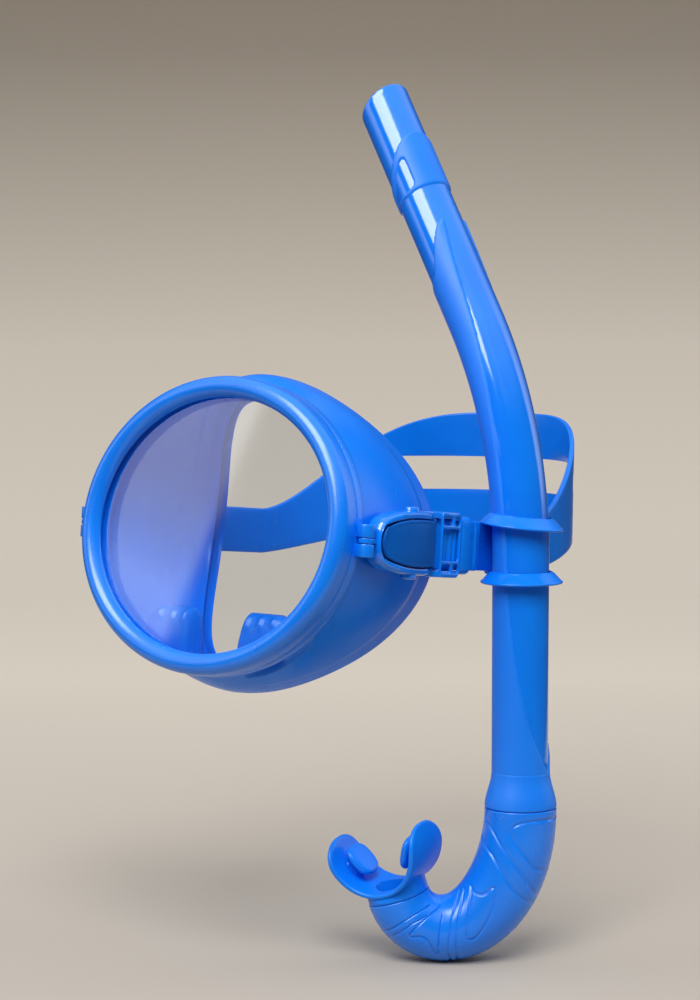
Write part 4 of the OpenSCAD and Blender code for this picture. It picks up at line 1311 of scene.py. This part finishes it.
def bite_tab(end):
    """A neck with small teeth from the flange's inside, and a rounded lug at its end."""
    inner = FLANGE_R - FLANGE_T
    face = inner - BITE_W
    a = full_turn(72)
    cos, sin = np.cos(a), np.sin(a)

    def loop(x, y, depth, power):
        """A loop between an ellipse, at power 1, and a rectangle, at power 0."""
        return xyz(
            x * np.sign(cos) * np.abs(cos) ** power, y * np.sign(sin) * np.abs(sin) ** power, -depth)

    rows = []
    for k in np.linspace(0, 1, 14):
        # the neck flares into the flange and into the lug
        flare = TAB_FLARE * (2 * k - 1) ** 4
        teeth = TAB_TOOTH * np.cos(TAB_TEETH * a) * hump(2 * k - 1)
        neck = loop(TAB_NECK[0] + flare, TAB_NECK[1] + flare, mix(inner + 0.6, face + 0.2, k), 0.6)
        neck[:, :2] *= 1 + teeth[:, None] / 4
        rows.append(neck)
    rows.append(loop(LUG_R - 1.1, LUG_R - 1.1, face, 0.75))
    edge = LUG_T / 2
    for b in np.radians(np.linspace(10, 170, 9)):
        out = edge * math.sin(b) - edge
        depth = face - edge + edge * math.cos(b)
        rows.append(loop(LUG_R + out + 0.4, LUG_R + out, depth, 0.72))
    for share in (0.7, 0.45, 0.2, 0.05):
        rows.append(loop(LUG_R * share, LUG_R * share, face - LUG_T - 0.35 * (1 - share), 0.8))
    points, faces = capped(rows)
    z, x = turn(points[:, 2], points[:, 0], end * TAB_ANGLE)
    return xyz(x, points[:, 1], FLANGE_MID + z), faces


def dress_cad_nodes():
    """Finishes for the solids that stay as they are."""
    finishes = {"lens": glass}
    for name in ("left", "right"):
        for piece in ("hinge_pin", "lever_pin", "lever_spring", "strap_bar"):
            finishes[name + "_" + piece] = steel
    for name, material in finishes.items():
        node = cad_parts[name]
        node.data.materials.clear()
        node.data.materials.append(material)


# Stage: a strip of paper that runs back from the object and bends up, in mm, with its colours
STAGE_HALF = 600
STAGE_FRONT = 350
STAGE_BACK = -1500
STAGE_BEND = 900
STAGE_TOP = 3500
STAGE_GAP = 0.2
# paper colours from the foot up, palest a little way up and darker towards the top: painted light and
# painted shade
PAPER_LOW = (0.48, 0.43, 0.365)
PAPER_MIDDLE = (0.63, 0.555, 0.47)
PAPER_HIGH = (0.42, 0.345, 0.265)
PAPER_GLOW = (0.27, 0.245, 0.21, 1)
PAPER_TONES_TOP = 0.6
PAPER_MOTTLE = 0.06


def paper_material(floor_z, away):
    """Paper painted with light and shade: paler at the foot than higher up, with a faint mottle and a glow
    behind the object.
    """
    material, tree = new_material("floor_paper")
    place = tree.nodes.new("ShaderNodeTexCoord").outputs["Object"]
    z = add_node(tree, "ShaderNodeSeparateXYZ", {"Vector": place}).outputs["Z"]
    height = map_range(tree, z, (floor_z * MM, PAPER_TONES_TOP), (0, 1))
    # painted shade: the paper's colour darkens with height, plus a faint random mottle
    shade_and_mottle = add_node(
        tree, "ShaderNodeMath", {0: noise(tree, 2.5), 1: PAPER_MOTTLE, 2: height}, "MULTIPLY_ADD")
    # the glow is seen, also in mirrored views, but lights nothing
    path = tree.nodes.new("ShaderNodeLightPath").outputs
    seen = combine(
        tree, "MAXIMUM", path["Is Camera Ray"], path["Is Glossy Ray"], path["Is Transmission Ray"])
    near = map_range(tree, along(tree, place, away), (0.0, 0.9), (0.0, 1.0))
    low = map_range(tree, z, (-0.15, 0.45), (1.0, 0.2))
    set_inputs(tree, tree.nodes["Principled BSDF"], {
        "Base Color": tones(
            tree, shade_and_mottle.outputs["Value"], (0, PAPER_LOW), (1, PAPER_HIGH), (0.35, PAPER_MIDDLE)),
        "Roughness": 0.9,
        "Specular IOR Level": 0.1,
        "Emission Color": PAPER_GLOW,
        "Emission Strength": combine(tree, "MULTIPLY", seen, near, low)})
    return material


def build_stage():
    floor_z = cad_box[0][2] / MM - STAGE_GAP
    toward = np.array([math.sin(math.radians(AZIMUTH)), -math.cos(math.radians(AZIMUTH))])
    across = np.array([toward[1], -toward[0]])
    line = [(STAGE_FRONT, 0), (STAGE_BACK, 0)]
    for a in np.linspace(0, math.pi / 2, 24)[1:]:
        line.append((STAGE_BACK - STAGE_BEND * math.sin(a), STAGE_BEND * (1 - math.cos(a))))
    line.append((STAGE_BACK - STAGE_BEND, STAGE_TOP))
    steps = np.linspace(-STAGE_HALF, STAGE_HALF, 9)
    rows = [[(*(toward * y + across * x), floor_z + z) for x in steps] for y, z in line]
    obj = mesh_object("floor", grid(np.array(rows)), 60)
    obj.data.materials.append(paper_material(floor_z, (-toward[0], -toward[1], 0)))


# The bright pane that the lens mirrors: its edge's azimuth at a height, in degrees, and the edge's lean
PANE_EDGE = -42.95
PANE_HEIGHT = 14
PANE_TILT = 0.125
PANE_SOFT = 0.003
PANE_LEVEL = 1.7
CEILING_LEVEL = 0.9
CEILING_FROM = (0.4, 0.8)
WORLD_LEVEL = 0.06
WORLD_TINT = (0.93, 0.95, 1.0, 1)


def area_light(name, at, size, power, diffuse=True, glossy=True):
    """A lamp that faces the object's middle."""
    light = bpy.data.lights.new(name, "AREA")
    light.shape = "RECTANGLE"
    light.size, light.size_y = size
    light.energy = power
    obj = bpy.data.objects.new(name, light)
    obj.location = at
    way = Vector((0.03, 0.02, 0.0)) - Vector(at)
    obj.rotation_euler = way.to_track_quat("-Z", "Y").to_euler()
    obj.visible_diffuse = diffuse
    obj.visible_glossy = glossy
    bpy.context.scene.collection.objects.link(obj)


def around(azimuth, elevation, distance):
    """A place seen from the origin: azimuth from the front towards the snorkel's side."""
    a, e = math.radians(azimuth), math.radians(elevation)
    flat = distance * math.cos(e)
    return flat * math.sin(a), -flat * math.cos(a), distance * math.sin(e)


def build_world():
    """A faint light all round, a pale ceiling and a bright pane on the wearer's right."""
    world = bpy.data.worlds.new("studio")
    world.use_nodes = True
    tree = world.node_tree
    way = tree.nodes.new("ShaderNodeTexCoord").outputs["Generated"]
    height = along(tree, way, (0, 0, 1))
    edge = math.radians(PANE_EDGE)
    past = along(tree, way, (-math.cos(edge), -math.sin(edge), PANE_TILT))
    middle = PANE_TILT * math.sin(math.radians(PANE_HEIGHT))
    start = map_range(tree, past, (middle - PANE_SOFT, middle + PANE_SOFT), (0.0, PANE_LEVEL), True)
    fade = map_range(tree, past, (middle + 0.05, 0.75), (1.0, 0.0), True)
    foot = map_range(tree, height, (-0.05, 0.12), (0.0, 1.0), True)
    head = map_range(tree, height, CEILING_FROM, (1.0, 0.0), True)
    ceiling = map_range(tree, height, CEILING_FROM, (WORLD_LEVEL, CEILING_LEVEL), True)
    pane = combine(tree, "MULTIPLY", start, fade, foot, head)
    set_inputs(tree, tree.nodes["Background"], {
        "Color": WORLD_TINT, "Strength": combine(tree, "ADD", pane, ceiling)})
    bpy.context.scene.world = world


def build_light():
    area_light("key", around(-6, 48, 1.4), (0.85, 1.1), 27, diffuse=False)
    area_light("front", around(34, 45, 1.5), (0.9, 0.9), 22, glossy=False)
    build_world()
    bpy.context.scene.view_settings.view_transform = "Standard"


def build_camera():
    camera = bpy.data.cameras.new("camera")
    camera.lens = FOCAL
    camera.sensor_width = SENSOR
    camera.sensor_fit = "AUTO"
    obj = bpy.data.objects.new("camera", camera)
    obj.location = CAMERA_AT
    obj.rotation_euler = (math.radians(90 - ELEVATION), 0, math.radians(AZIMUTH))
    bpy.context.scene.collection.objects.link(obj)
    bpy.context.scene.camera = obj


build_camera()
build_light()
build_stage()
build_bezel()
build_frame()
build_skirt()
build_back_strap()
for side, name in ((1, "left"), (-1, "right")):
    build_strap_end(side, name)
    build_buckle(side, name)
    build_lever(side, name)
    build_loop(side, name)
build_barrel()
build_sleeve()
build_band()
build_keeper()
build_elbow()
build_mouthpiece()
dress_cad_nodes()
